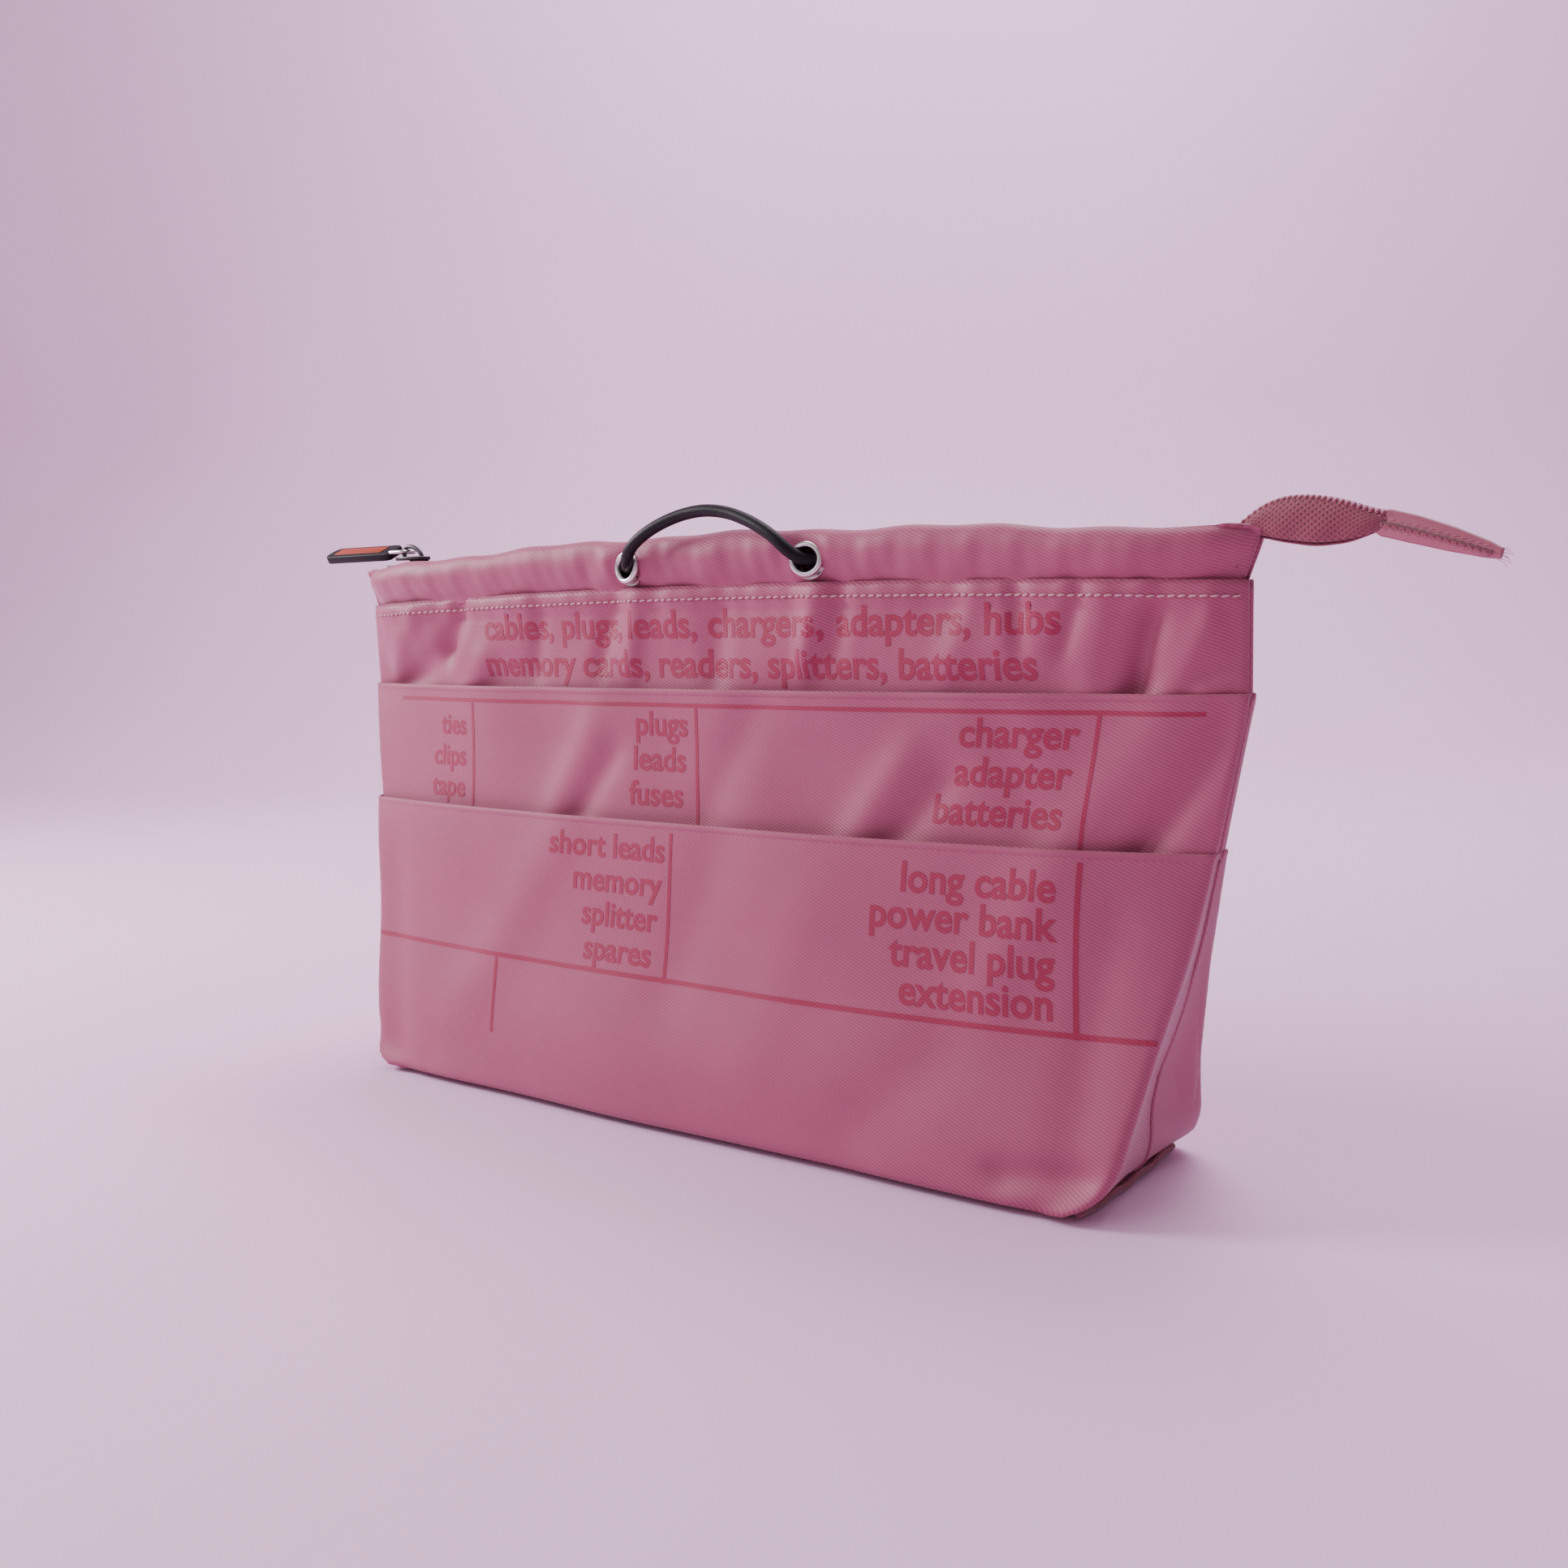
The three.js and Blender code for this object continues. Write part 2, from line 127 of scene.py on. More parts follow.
def make_camera():
    yaw, pitch, roll = CAMERA_YAW, CAMERA_PITCH, CAMERA_ROLL
    forward = Vector((-math.sin(yaw) * math.cos(pitch), math.cos(yaw) * math.cos(pitch), -math.sin(pitch)))
    level = Vector((math.cos(yaw), math.sin(yaw), 0))
    upward = level.cross(forward)
    right = level * math.cos(roll) + upward * math.sin(roll)
    up = upward * math.cos(roll) - level * math.sin(roll)
    camera = bpy.data.objects.new("camera", bpy.data.cameras.new("camera"))
    camera.data.lens = 36
    camera.data.sensor_width = 36
    camera.data.clip_start = 0.01
    bpy.context.collection.objects.link(camera)
    turn = Matrix((right, up, -forward)).transposed().to_4x4()
    camera.matrix_world = Matrix.Translation(CAMERA_PLACE) @ turn
    bpy.context.scene.camera = camera


# ---- node materials ----
class Shader:
    """One Principled material, with short helpers for its nodes."""

    def __init__(self, name, color, roughness, **sockets):
        self.material = bpy.data.materials.new(name)
        self.material.use_nodes = True
        self.tree = self.material.node_tree
        self.bsdf = self.tree.nodes["Principled BSDF"]
        self.color = (*color, 1)
        self.bsdf.inputs["Base Color"].default_value = self.color
        self.bsdf.inputs["Roughness"].default_value = roughness
        for socket, value in sockets.items():
            self.bsdf.inputs[socket.replace("_", " ")].default_value = value

    def node(self, kind, **settings):
        made = self.tree.nodes.new(kind)
        for key, value in settings.items():
            setattr(made, key, value)
        return made

    def link(self, source, target):
        self.tree.links.new(source, target)

    def math(self, operation, a, b=0.0):
        made = self.node("ShaderNodeMath", operation=operation)
        for socket, value in zip(made.inputs, (a, b)):
            if isinstance(value, (int, float)):
                socket.default_value = value
            else:
                self.link(value, socket)
        return made.outputs[0]

    def noise(self, scale, detail):
        made = self.node("ShaderNodeTexNoise")
        made.inputs["Scale"].default_value = scale
        made.inputs["Detail"].default_value = detail
        self.link(self.node("ShaderNodeTexCoord").outputs["Object"], made.inputs["Vector"])
        return made.outputs["Fac"]

    def tint(self, color, fac, low, high):
        """Multiplies a color by a grey that goes from low to high with fac."""
        ramp = self.node("ShaderNodeValToRGB")
        for element, position, grey in zip(ramp.color_ramp.elements, (0.25, 0.75), (low, high)):
            element.position = position
            element.color = (grey, grey, grey, 1)
        self.link(fac, ramp.inputs["Fac"])
        made = self.node("ShaderNodeMix", data_type="RGBA", blend_type="MULTIPLY")
        made.inputs["Factor"].default_value = 1
        if isinstance(color, tuple):
            made.inputs["A"].default_value = color
        else:
            self.link(color, made.inputs["A"])
        self.link(ramp.outputs["Color"], made.inputs["B"])
        return made.outputs["Result"]

    def bump(self, height, distance, strength, over=None):
        made = self.node("ShaderNodeBump")
        made.inputs["Strength"].default_value = strength
        made.inputs["Distance"].default_value = distance
        self.link(height, made.inputs["Height"])
        if over is not None:
            self.link(over, made.inputs["Normal"])
        return made.outputs["Normal"]

    def uv_ribs(self, angle, pitch):
        """Ribs from 0 to 1 across the cloth's own UVs, which are in millimetres."""
        split = self.node("ShaderNodeSeparateXYZ")
        self.link(self.node("ShaderNodeUVMap", uv_map="cloth").outputs["UV"], split.inputs[0])
        across = self.math("MULTIPLY", split.outputs[0], math.sin(angle) * math.tau / pitch)
        along = self.math("MULTIPLY", split.outputs[1], math.cos(angle) * math.tau / pitch)
        wave = self.math("SINE", self.math("ADD", across, along))
        return self.math("ADD", self.math("MULTIPLY", wave, 0.5), 0.5)

    def finish(self, color, normal=None, roughness=None):
        for socket, source in (("Base Color", color), ("Normal", normal), ("Roughness", roughness)):
            if source is not None:
                self.link(source, self.bsdf.inputs[socket])
        return self.material


def twill(name, color):
    """Nylon twill: fine ribs a little off the level, crossed by the yarns, with soft cloudiness."""
    s = Shader(name, color, 0.52, Sheen_Weight=0.25, Sheen_Roughness=0.4, Specular_IOR_Level=0.45)
    ribs = s.uv_ribs(math.radians(24), 0.8)
    yarns = s.uv_ribs(math.radians(96), 0.52)
    weave = s.math("ADD", s.math("MULTIPLY", ribs, 0.8), s.math("MULTIPLY", yarns, 0.25))
    cloud = s.noise(38, 4)
    tinted = s.tint(s.tint(s.color, ribs, 0.8, 1.07), cloud, 0.93, 1.05)
    rough = s.math("ADD", s.math("MULTIPLY", cloud, 0.16), 0.42)
    normal = s.bump(s.noise(420, 2), 0.00006, 0.35)
    normal = s.bump(weave, 0.00007, 0.75, normal)
    return s.finish(tinted, normal, rough)


def webbing(name, color, pitch=1.0):
    """Woven tape: herringbone ribs in the tape's own UVs."""
    s = Shader(name, color, 0.75, Sheen_Weight=0.3, Sheen_Roughness=0.5)
    one = s.uv_ribs(math.radians(38), pitch)
    two = s.uv_ribs(math.radians(-38), pitch)
    knit = s.math("MAXIMUM", one, two)
    tinted = s.tint(s.tint(s.color, knit, 0.68, 1.16), s.noise(160, 3), 0.9, 1.08)
    normal = s.bump(knit, 0.00022, 0.9, s.bump(s.noise(900, 2), 0.00008, 0.4))
    return s.finish(tinted, normal)


def thread(name, color):
    s = Shader(name, color, 0.6, Sheen_Weight=0.3)
    grain = s.noise(2200, 2)
    return s.finish(s.tint(s.color, grain, 0.8, 1.08), s.bump(grain, 0.00005, 0.6))


def moulded(name, color, roughness, coat=0.0, spec=0.5):
    s = Shader(name, color, roughness, Coat_Weight=coat, Coat_Roughness=0.25, Specular_IOR_Level=spec)
    fine = s.noise(700, 3)
    wear = s.noise(60, 4)
    rough = s.math("ADD", s.math("MULTIPLY", wear, 0.2), roughness - 0.1)
    return s.finish(s.tint(s.color, wear, 0.88, 1.1), s.bump(fine, 0.00003, 0.5), rough)


def metal(name, color, roughness):
    s = Shader(name, color, roughness, Metallic=1.0)
    wear = s.noise(300, 5)
    rough = s.math("ADD", s.math("MULTIPLY", wear, 0.22), roughness - 0.08)
    scratch = s.noise(2600, 2)
    return s.finish(s.tint(s.color, wear, 0.85, 1.04), s.bump(scratch, 0.000002, 0.4), rough)


def braid(name, color):
    """Braided elastic cord: two crossing sets of fine strands round the tube."""
    s = Shader(name, color, 0.45, Specular_IOR_Level=0.25)
    one = s.uv_ribs(math.radians(40), 0.8)
    two = s.uv_ribs(math.radians(-40), 0.8)
    strands = s.math("MAXIMUM", one, two)
    return s.finish(s.tint(s.color, strands, 0.8, 1.2), s.bump(strands, 0.00003, 0.5))


PINK = (0.42, 0.09, 0.172)
PRINT = (0.36, 0.018, 0.072)
MATERIAL = {
    "fabric": twill("pink_twill", PINK),
    "print": twill("printed_twill", PRINT),
    "binding": webbing("dark_binding", (0.36, 0.085, 0.13), 0.9),
    "tape": webbing("zip_tape_weave", (0.27, 0.06, 0.09)),
    "thread": thread("pale_thread", (0.66, 0.36, 0.37)),
    "pink_thread": thread("pink_thread", (0.50, 0.17, 0.25)),
    "coil": moulded("coil_nylon", (0.40, 0.11, 0.165), 0.35, 0.2),
    "film": moulded("tab_film", (0.43, 0.12, 0.175), 0.28, 0.5),
    "nickel": metal("bright_nickel", (0.80, 0.78, 0.75), 0.2),
    "enamel": moulded("black_enamel", (0.02, 0.018, 0.02), 0.35, 0.3),
    "cord": braid("black_braid", (0.006, 0.005, 0.007)),
    "rubber": moulded("black_rubber", (0.007, 0.006, 0.007), 0.55, spec=0.25),
    "orange": moulded("orange_rubber", (0.36, 0.042, 0.012), 0.5, spec=0.3),
    "board": moulded("grey_board", (0.25, 0.25, 0.25), 0.6),
}


# ---- mesh making ----
def make_mesh(name, points, faces, material, uv=None, smooth=True):
    """points in millimetres; uv, where given, is one pair for each point, in millimetres."""
    mesh = bpy.data.meshes.new(name)
    places = np.asarray(points, float).reshape(-1, 3) * MM
    mesh.from_pydata(places.tolist(), [], faces)
    if uv is not None:
        layer = mesh.uv_layers.new(name="cloth")
        uv = np.asarray(uv, float)
        corner = np.empty(len(mesh.loops), int)
        mesh.loops.foreach_get("vertex_index", corner)
        layer.data.foreach_set("uv", uv[corner].astype(np.float32).ravel())
    mesh.polygons.foreach_set("use_smooth", [smooth] * len(mesh.polygons))
    mesh.materials.append(MATERIAL[material])
    mesh.update()
    made = bpy.data.objects.new(name, mesh)
    bpy.context.collection.objects.link(made)
    return made


def grid_faces(rows, cols, flip=False, wrap_cols=False, wrap_rows=False, offset=0):
    """Four-sided faces over rows of points; a wrapped direction closes on itself."""
    faces = []
    for r in range(rows if wrap_rows else rows - 1):
        here = offset + r * cols
        above = offset + (r + 1) % rows * cols
        for c in range(cols if wrap_cols else cols - 1):
            beside = (c + 1) % cols
            quad = (here + c, here + beside, above + beside, above + c)
            faces.append(quad[::-1] if flip else quad)
    return faces


def end_caps(sides, first, last):
    """The two faces that close a tube, from the first vertex of its first and of its last ring."""
    return [tuple(first + k for k in reversed(range(sides))), tuple(last + k for k in range(sides))]


def grid_uv(rows, cols):
    """One pair for each point of a grid: the place of its row, then of its column."""
    return np.stack(np.meshgrid(cols, rows), axis=2)[..., ::-1].reshape(-1, 2)


def arc_along(points):
    """The distance of each point along its line, from the first."""
    steps = np.linalg.norm(np.diff(points, axis=0), axis=1)
    return np.concatenate([[0], np.cumsum(steps)])


def at_distance(distance, arc, points):
    """Places at given distances along a line of points."""
    return np.stack([np.interp(distance, arc, points[:, k]) for k in range(3)], axis=1)


def apply_modifiers(piece):
    bpy.context.view_layer.update()
    evaluated = piece.evaluated_get(bpy.context.evaluated_depsgraph_get())
    mesh = bpy.data.meshes.new_from_object(evaluated)
    piece.modifiers.clear()
    piece.data = mesh
    return piece


def solidify(piece, thickness, offset=-1.0):
    modifier = piece.modifiers.new("cloth", "SOLIDIFY")
    modifier.thickness = thickness * MM
    modifier.offset = offset
    return apply_modifiers(piece)


def join(name, pieces):
    """Joins mesh objects into the first one, and renames it."""
    bpy.ops.object.select_all(action="DESELECT")
    for piece in pieces:
        piece.select_set(True)
    bpy.context.view_layer.objects.active = pieces[0]
    bpy.ops.object.join()
    pieces[0].name = name
    pieces[0].data.name = name
    return pieces[0]


WALL_BAND = ("pouch_body", "front_wall", (0, 0, 0.05), (0, -0.0015, 0.05))
TAIL_BAND = ("pouch_body", "zip_tail", (0.152, 0, 0.164), (0.159, 0, 0.164))
TAB_BAND = ("zip_tail", "tail_end", (0.181, 0, 0.163), (0.187, 0, 0.163))


def place(piece, body, slot, *nodes):
    """Hangs a piece on a body; when body is a band, it only bakes the piece's transform in place. nodes are
    what it stands for, and are hidden.
    """
    if isinstance(body, str):
        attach(piece, body)
    else:
        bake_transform(piece)
    if nodes:
        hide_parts(*nodes)
    return piece


# ---- folds in the cloth ----
def crease(x, z, start, end, width, height):
    """A ridge (or valley, with height below 0) along a line, fading out past its two ends."""
    (x0, z0), (x1, z1) = start, end
    dx, dz = x1 - x0, z1 - z0
    length = math.hypot(dx, dz)
    along = ((x - x0) * dx + (z - z0) * dz) / length
    across = ((x - x0) * dz - (z - z0) * dx) / length
    past = np.maximum(0, np.maximum(-along, along - length))
    return height * np.exp(-(across / width) ** 2 - (past / (1.6 * width)) ** 2)


def creased(x, z, creases):
    return sum(crease(x, z, *each) for each in creases)


def ripple(x, z, scale, seed):
    """Soft unevenness, the same on every run."""
    total = np.zeros_like(x, dtype=float)
    for k in range(1, 6):
        angle = 2.4 * k + seed
        wave = math.tau / (scale * (0.55 + 0.23 * k))
        total += np.sin((x * math.cos(angle) + z * math.sin(angle)) * wave + 1.7 * k * seed) / (0.6 + 0.5 * k)
    return total


# Each crease: one end (x, z), the other end, its width and its height.
UPPER_PANEL_CREASES = [
    ((149, 145), (137, 124), 4.2, 1.6), ((133, 142), (128, 122), 3.4, -3.6),
    ((121, 146), (117, 128), 4.0, 0.9), ((115, 150), (111, 137), 2.6, -1.4),
    ((150, 147), (154, 136), 2.4, -1.2), ((146, 126), (153, 128.5), 2.4, 1.8),
    ((98, 150), (99, 138), 2.8, -1.3), ((86, 149), (80, 134), 4.0, 0.9),
    ((-104, 148), (-112, 136), 3.8, -2.4), ((-114, 136), (-139, 125), 4.2, -2.0),
    ((-96, 131), (-104, 124), 5.0, 1.8), ((-128, 146), (-141, 133), 4.5, 1.4),
    ((-26, 151), (-30, 134), 4.0, 1.6), ((-36, 150), (-42, 134), 4.0, -1.4),
    ((38, 151), (34, 134), 3.6, 1.6), ((46, 150), (44, 138), 3.4, -1.3),
    ((4, 150), (2, 130), 5.0, -1.4), ((-66, 148), (-70, 132), 4.0, -1.0)]
UPPER_POCKET_CREASES = [
    ((152, 113), (136, 86), 5.0, -2.3), ((134, 116), (116, 88), 7.5, 1.1),
    ((-46, 110), (-58, 90), 6.5, 1.4), ((-36, 104), (-48, 88), 4.5, -1.2),
    ((66, 106), (54, 88), 6.0, 1.4), ((78, 100), (66, 86), 5.0, -1.3), ((16, 116), (2, 92), 7.0, -0.9),
    ((94, 116), (104, 96), 7.0, -0.9)]
LOWER_POCKET_CREASES = [
    ((112, 80), (98, 52), 9.0, 1.2), ((-56, 76), (-84, 34), 10.0, 1.2), ((8, 78), (-6, 40), 10.0, -0.9),
    ((84, 34), (60, 14), 9.0, -1.0), ((40, 60), (28, 30), 12.0, 0.8)]
CORNER_CREASES = [((102, 9), (121, 11), 3.6, -1.9), ((-104, 6), (-122, 9), 5.0, -1.0)]


def upper_panel_folds(x, z, side):
    down = np.clip((seam_height(x) - z) / 26, 0, 1)
    gather = np.sin(x * 0.31 + 2.3 * np.sin(x * 0.043)) + 0.5 * np.sin(x * 0.74 + 1.9 * np.sin(x * 0.03))
    folds = 0.3 * gather * np.exp(-down * 3.0)
    if side == FRONT:
        folds += creased(x, z, UPPER_PANEL_CREASES)
    return folds + 0.35 * ripple(x, z, 40, 0.7 + side)


def upper_pocket_folds(x, z, side):
    folds = 0.4 * ripple(x, z, 55, 2.1 + side)
    if side == FRONT:
        folds += creased(x, z, UPPER_POCKET_CREASES)
    return folds


def lower_pocket_folds(x, z, side):
    folds = 0.5 * ripple(x, z, 70, 3.3 + side)
    near_end = half_width(z) - np.abs(x)
    folds -= 1.0 * np.exp(-((near_end - 13) / 6.5) ** 2) * smoothstep((84 - z) / 24)
    folds += creased(x, z, CORNER_CREASES)
    if side == FRONT:
        folds += creased(x, z, LOWER_POCKET_CREASES)
    return folds


def section_lines(depth_mid, z, layer_lift, fold):
    """Half of the bag's level outline at height z: arc length, x and depth, from the middle of the
    face round the corner fold to the side seam in the middle of the end."""
    fold = fold + layer_lift
    wide = float(half_width(z)) + 0.3 * layer_lift
    sunk = 3.2 * smoothstep((fold - 8) / 14) * smoothstep((z - 2) / 22)
    inset = 0.5 + smoothstep((fold - 5) / 20) + sunk
    x = np.linspace(0, wide, 220)
    power = 3 + 9 * smoothstep((z - 128) / 22)
    depth = fold + (depth_mid - fold) * (1 - (x / wide) ** power)
    end_depth = np.linspace(fold, 0.15, 60)
    end_x = wide - inset * np.sin((1 - end_depth / fold) * math.pi / 2)
    x = np.concatenate([x, end_x[1:]])
    depth = np.concatenate([depth, end_depth[1:]])
    arc = arc_along(np.column_stack([x, depth]))
    even = np.linspace(0, arc[-1], 640)
    x, depth = np.interp(even, arc, x), np.interp(even, arc, depth)
    reach = min(4.5, 0.35 * fold + 0.6)
    kernel_half = max(2, int(reach / (even[1] - even[0])))
    kernel = np.hanning(2 * kernel_half + 1)
    kernel /= kernel.sum()
    x_wide = np.concatenate([-x[kernel_half:0:-1], x, np.full(kernel_half, x[-1])])
    d_wide = np.concatenate([depth[kernel_half:0:-1], depth, np.full(kernel_half, depth[-1])])
    x = np.convolve(x_wide, kernel, "valid")
    depth = np.convolve(d_wide, kernel, "valid")
    return even, x, depth


def tuck_under(x, depth, z, wide):
    """Rounds the foot of the cloth in under the base, most of all at the lower corners."""
    low = max(0.0, 1 - z / EDGE_TUCK)
    corner = np.clip(np.abs(x) / wide, 0, 1) ** 7
    for end, reach in ((-1, LEFT_CORNER_TUCK), (1, RIGHT_CORNER_TUCK)):
        high = max(0.0, 1 - z / reach)
        drawn_in = corner * (7 + 0.28 * reach) * (1 - math.sqrt(1 - high * high))
        x = np.where(x * end > 0, x - end * drawn_in, x)
    depth = depth - smoothstep(depth / 12) * 0.6 * EDGE_TUCK * (1 - math.sqrt(1 - low * low))
    return x, depth


class Cloth:
    """One layer of a long face, seam to seam round both corner folds. It maps cloth coordinates
    (millimetres from the middle of the face, height) to places on the surface."""

    def __init__(self, side, layer, foot, top, folds, lift):
        self.side, self.layer, self.foot, self.top, self.folds = side, layer, foot, top, folds
        self.lift = lift
        self.levels = np.linspace(0, 1, max(12, int((top(0) - foot) / 1.6)))
        self.columns = np.linspace(-CLOTH_HALF, CLOTH_HALF, 231)
        self.points = self._shape()

    def _outward(self, along, upward):
        """Unit normals that point out of the bag."""
        normal = np.cross(along, upward) * (1 if self.side == FRONT else -1)
        return normal / np.linalg.norm(normal, axis=-1, keepdims=True)

    def _shape(self):
        rows = []
        for t in self.levels:
            z_mid = self.foot + t * (float(self.top(0)) - self.foot)
            mid = float(panel_depth(z_mid)) + self.lift(z_mid)
            xs, ds = np.empty_like(self.columns), np.empty_like(self.columns)
            for end, fold in ((-1, full_fold_depth(z_mid)), (1, fold_depth(z_mid))):
                arc, x, depth = section_lines(mid, z_mid, -1.4 + 1.1 * self.layer, float(fold))
                these = self.columns * end >= 0
                want = np.abs(self.columns[these]) / CLOTH_HALF * arc[-1]
                xs[these] = end * np.interp(want, arc, x)
                ds[these] = np.interp(want, arc, depth)
            zs = self.foot + t * (self.top(xs) - self.foot)
            xs, ds = tuck_under(xs, ds, z_mid, float(half_width(z_mid)))
            rows.append(np.stack([xs, self.side * ds, zs], axis=1))
        grid = np.array(rows)
        normal = self._outward(np.gradient(grid, axis=1), np.gradient(grid, axis=0))
        flat_x = np.broadcast_to(self.columns, grid.shape[:2])
        amount = self.folds(flat_x, grid[..., 2], self.side)
        fade = smoothstep((CLOTH_HALF - np.abs(flat_x)) / 14)
        return grid + normal * (amount * fade)[..., None]

    def piece(self, name):
        rows, cols = len(self.levels), len(self.columns)
        height = self.foot + self.levels * (self.top(0) - self.foot)
        uv = np.stack(np.meshgrid(self.columns, height), axis=2).reshape(-1, 2)
        flip = self.side == BACK
        made = make_mesh(name, self.points, grid_faces(rows, cols, flip), "fabric", uv)
        return solidify(made, FABRIC)

    def at(self, x, z, proud=0.0):
        """Places on the outer surface, for cloth coordinates x and heights z, in millimetres."""
        last_col, last_row = len(self.columns) - 1, len(self.levels) - 1
        col = np.clip((x + CLOTH_HALF) / (2 * CLOTH_HALF) * last_col, 0, last_col - 0.001)
        row = np.clip((z - self.foot) / (self.top(x) - self.foot) * last_row, 0, last_row - 0.001)
        c, r = col.astype(int), row.astype(int)
        fc, fr = (col - c)[..., None], (row - r)[..., None]
        p = self.points
        low = p[r, c] * (1 - fc) + p[r, c + 1] * fc
        high = p[r + 1, c] * (1 - fc) + p[r + 1, c + 1] * fc
        out = low * (1 - fr) + high * fr
        return out + proud * self._outward(p[r, c + 1] - p[r, c], p[r + 1, c] - p[r, c])


# ---- tubes, stitches and prints ----
def between(a, b, t, start, end):
    """Goes from a at start to b at end."""
    return ((end - t) * a + (t - start) * b) / (end - start)


def smooth_route(route, step):
    """Even points along a smooth curve (centripetal Catmull-Rom) through a given route."""
    points = np.array(route, float)
    padded = np.vstack([2 * points[0] - points[1], points, 2 * points[-1] - points[-2]])
    dense = []
    for four in zip(padded[:-3], padded[1:-2], padded[2:-1], padded[3:]):
        gaps = [max(np.linalg.norm(b - a), 1e-6) ** 0.5 for a, b in zip(four, four[1:])]
        k = np.cumsum([0] + gaps)
        for t in np.linspace(k[1], k[2], 24, endpoint=False):
            a = [between(four[i], four[i + 1], t, k[i], k[i + 1]) for i in range(3)]
            b = [between(a[i], a[i + 1], t, k[i], k[i + 2]) for i in range(2)]
            dense.append(between(b[0], b[1], t, k[1], k[2]))
    dense.append(points[-1])
    dense = np.array(dense)
    arc = arc_along(dense)
    return at_distance(np.linspace(0, arc[-1], max(3, int(arc[-1] / step) + 1)), arc, dense)


def tube(name, points, radius, material, sides=16, closed=False):
    """A round tube along points, with ends capped; radius is one number or one for each point."""
    points = np.asarray(points, float)
    count = len(points)
    if closed:
        tangents = np.roll(points, -1, axis=0) - np.roll(points, 1, axis=0)
    else:
        tangents = np.gradient(points, axis=0)
    tangents /= np.linalg.norm(tangents, axis=1, keepdims=True)
    radius = np.broadcast_to(np.asarray(radius, float), (count,))
    side = np.cross(tangents[0], (0.13, 0.21, 0.97))
    side /= np.linalg.norm(side)
    arc = arc_along(points)
    turn = np.arange(sides) * math.tau / sides
    verts, uv = [], []
    for i in range(count):
        side = side - tangents[i] * side.dot(tangents[i])
        side /= np.linalg.norm(side)
        other = np.cross(tangents[i], side)
        verts.append(points[i] + radius[i] * (np.outer(np.cos(turn), side) + np.outer(np.sin(turn), other)))
        uv.append(np.stack([np.full(sides, arc[i]), turn * radius[i]], axis=1))
    faces = grid_faces(count, sides, wrap_cols=True, wrap_rows=closed)
    if not closed:
        faces += end_caps(sides, 0, (count - 1) * sides)
    return correct_normals(make_mesh(name, verts, faces, material, np.vstack(uv)))


def correct_normals(piece):
    work = bmesh.new()
    work.from_mesh(piece.data)
    bmesh.ops.recalc_face_normals(work, faces=work.faces)
    work.to_mesh(piece.data)
    work.free()
    return piece


def beads(name, centres, axes, length, radius, material):
    """Many small rounded bars (stitches, coil teeth) in one mesh, each along its own axis."""
    rings, sides = (-1, -0.82, -0.3, 0.3, 0.82, 1), 6
    swell = (0.28, 0.8, 1, 1, 0.8, 0.28)
    verts, faces, uv = [], [], []
    turn = np.arange(sides) * math.tau / sides
    for centre, axis in zip(centres, axes):
        base = len(verts) * sides
        axis = np.asarray(axis, float) / np.linalg.norm(axis)
        side = np.cross(axis, (0, 0.05, 1.0))
        side /= np.linalg.norm(side)
        other = np.cross(side, axis)
        ring = np.outer(np.cos(turn), side) + np.outer(np.sin(turn), other)
        for place_along, size in zip(rings, swell):
            verts.append(centre + axis * (0.5 * length * place_along) + ring * (radius * size))
            uv.append(np.stack([np.full(sides, place_along * length), turn * radius], axis=1))
        faces += grid_faces(len(rings), sides, wrap_cols=True, offset=base)
        faces += end_caps(sides, base, base + (len(rings) - 1) * sides)
    return correct_normals(make_mesh(name, verts, faces, material, np.vstack(uv)))


def stitch_line(name, path, pitch=2.5, length=1.9, radius=0.3, material="thread"):
    """Topstitching along points that already lie on the cloth."""
    arc = arc_along(path)
    places = np.arange(pitch / 2, arc[-1], pitch)
    ahead = at_distance(places + length / 2, arc, path)
    behind = at_distance(places - length / 2, arc, path)
    slant = (ahead - behind) + (0, 0, 0.16 * length)
    return beads(name, (ahead + behind) / 2, slant, length, radius, material)


PRINT_PROUD = 0.08
PRINT_CELL = 2.0
LETTER_WEIGHT = 0.022
LETTER_HALF_HEIGHT = 0.36


def flat_print(outline_mesh):
    """Cuts a flat mesh (x, z in millimetres, held as x, y) into small cells, so that it can bend."""
    work = bmesh.new()
    work.from_mesh(outline_mesh)
    xs = [v.co.x for v in work.verts]
    ys = [v.co.y for v in work.verts]
    for normal, low, high in (((1, 0, 0), min(xs), max(xs)), ((0, 1, 0), min(ys), max(ys))):
        for cut in np.arange(math.ceil(low / PRINT_CELL) * PRINT_CELL, high, PRINT_CELL):
            bmesh.ops.bisect_plane(work, geom=work.verts[:] + work.edges[:] + work.faces[:],
                                   plane_co=cut * np.array(normal), plane_no=normal)
    bmesh.ops.triangulate(work, faces=work.faces[:])
    bmesh.ops.dissolve_degenerate(work, dist=0.002, edges=work.edges[:])
    points = [v.co.to_tuple() for v in work.verts]
    faces = [[v.index for v in f.verts] for f in work.faces]
    work.free()
    return points, faces


def word_mesh(text, size, x, z, align):
    """A flat word, with z at the middle of its letters."""
    curve = bpy.data.curves.new("words", "FONT")
    curve.body = text
    curve.size = size
    curve.align_x = align
    curve.offset = size * LETTER_WEIGHT
    curve.resolution_u = 4
    thing = bpy.data.objects.new("words", curve)
    bpy.context.collection.objects.link(thing)
    bpy.context.view_layer.update()
    mesh = bpy.data.meshes.new_from_object(thing.evaluated_get(bpy.context.evaluated_depsgraph_get()))
    bpy.data.objects.remove(thing)
    mesh.transform(Matrix.Translation((x, z - size * LETTER_HALF_HEIGHT, 0)))
    return mesh


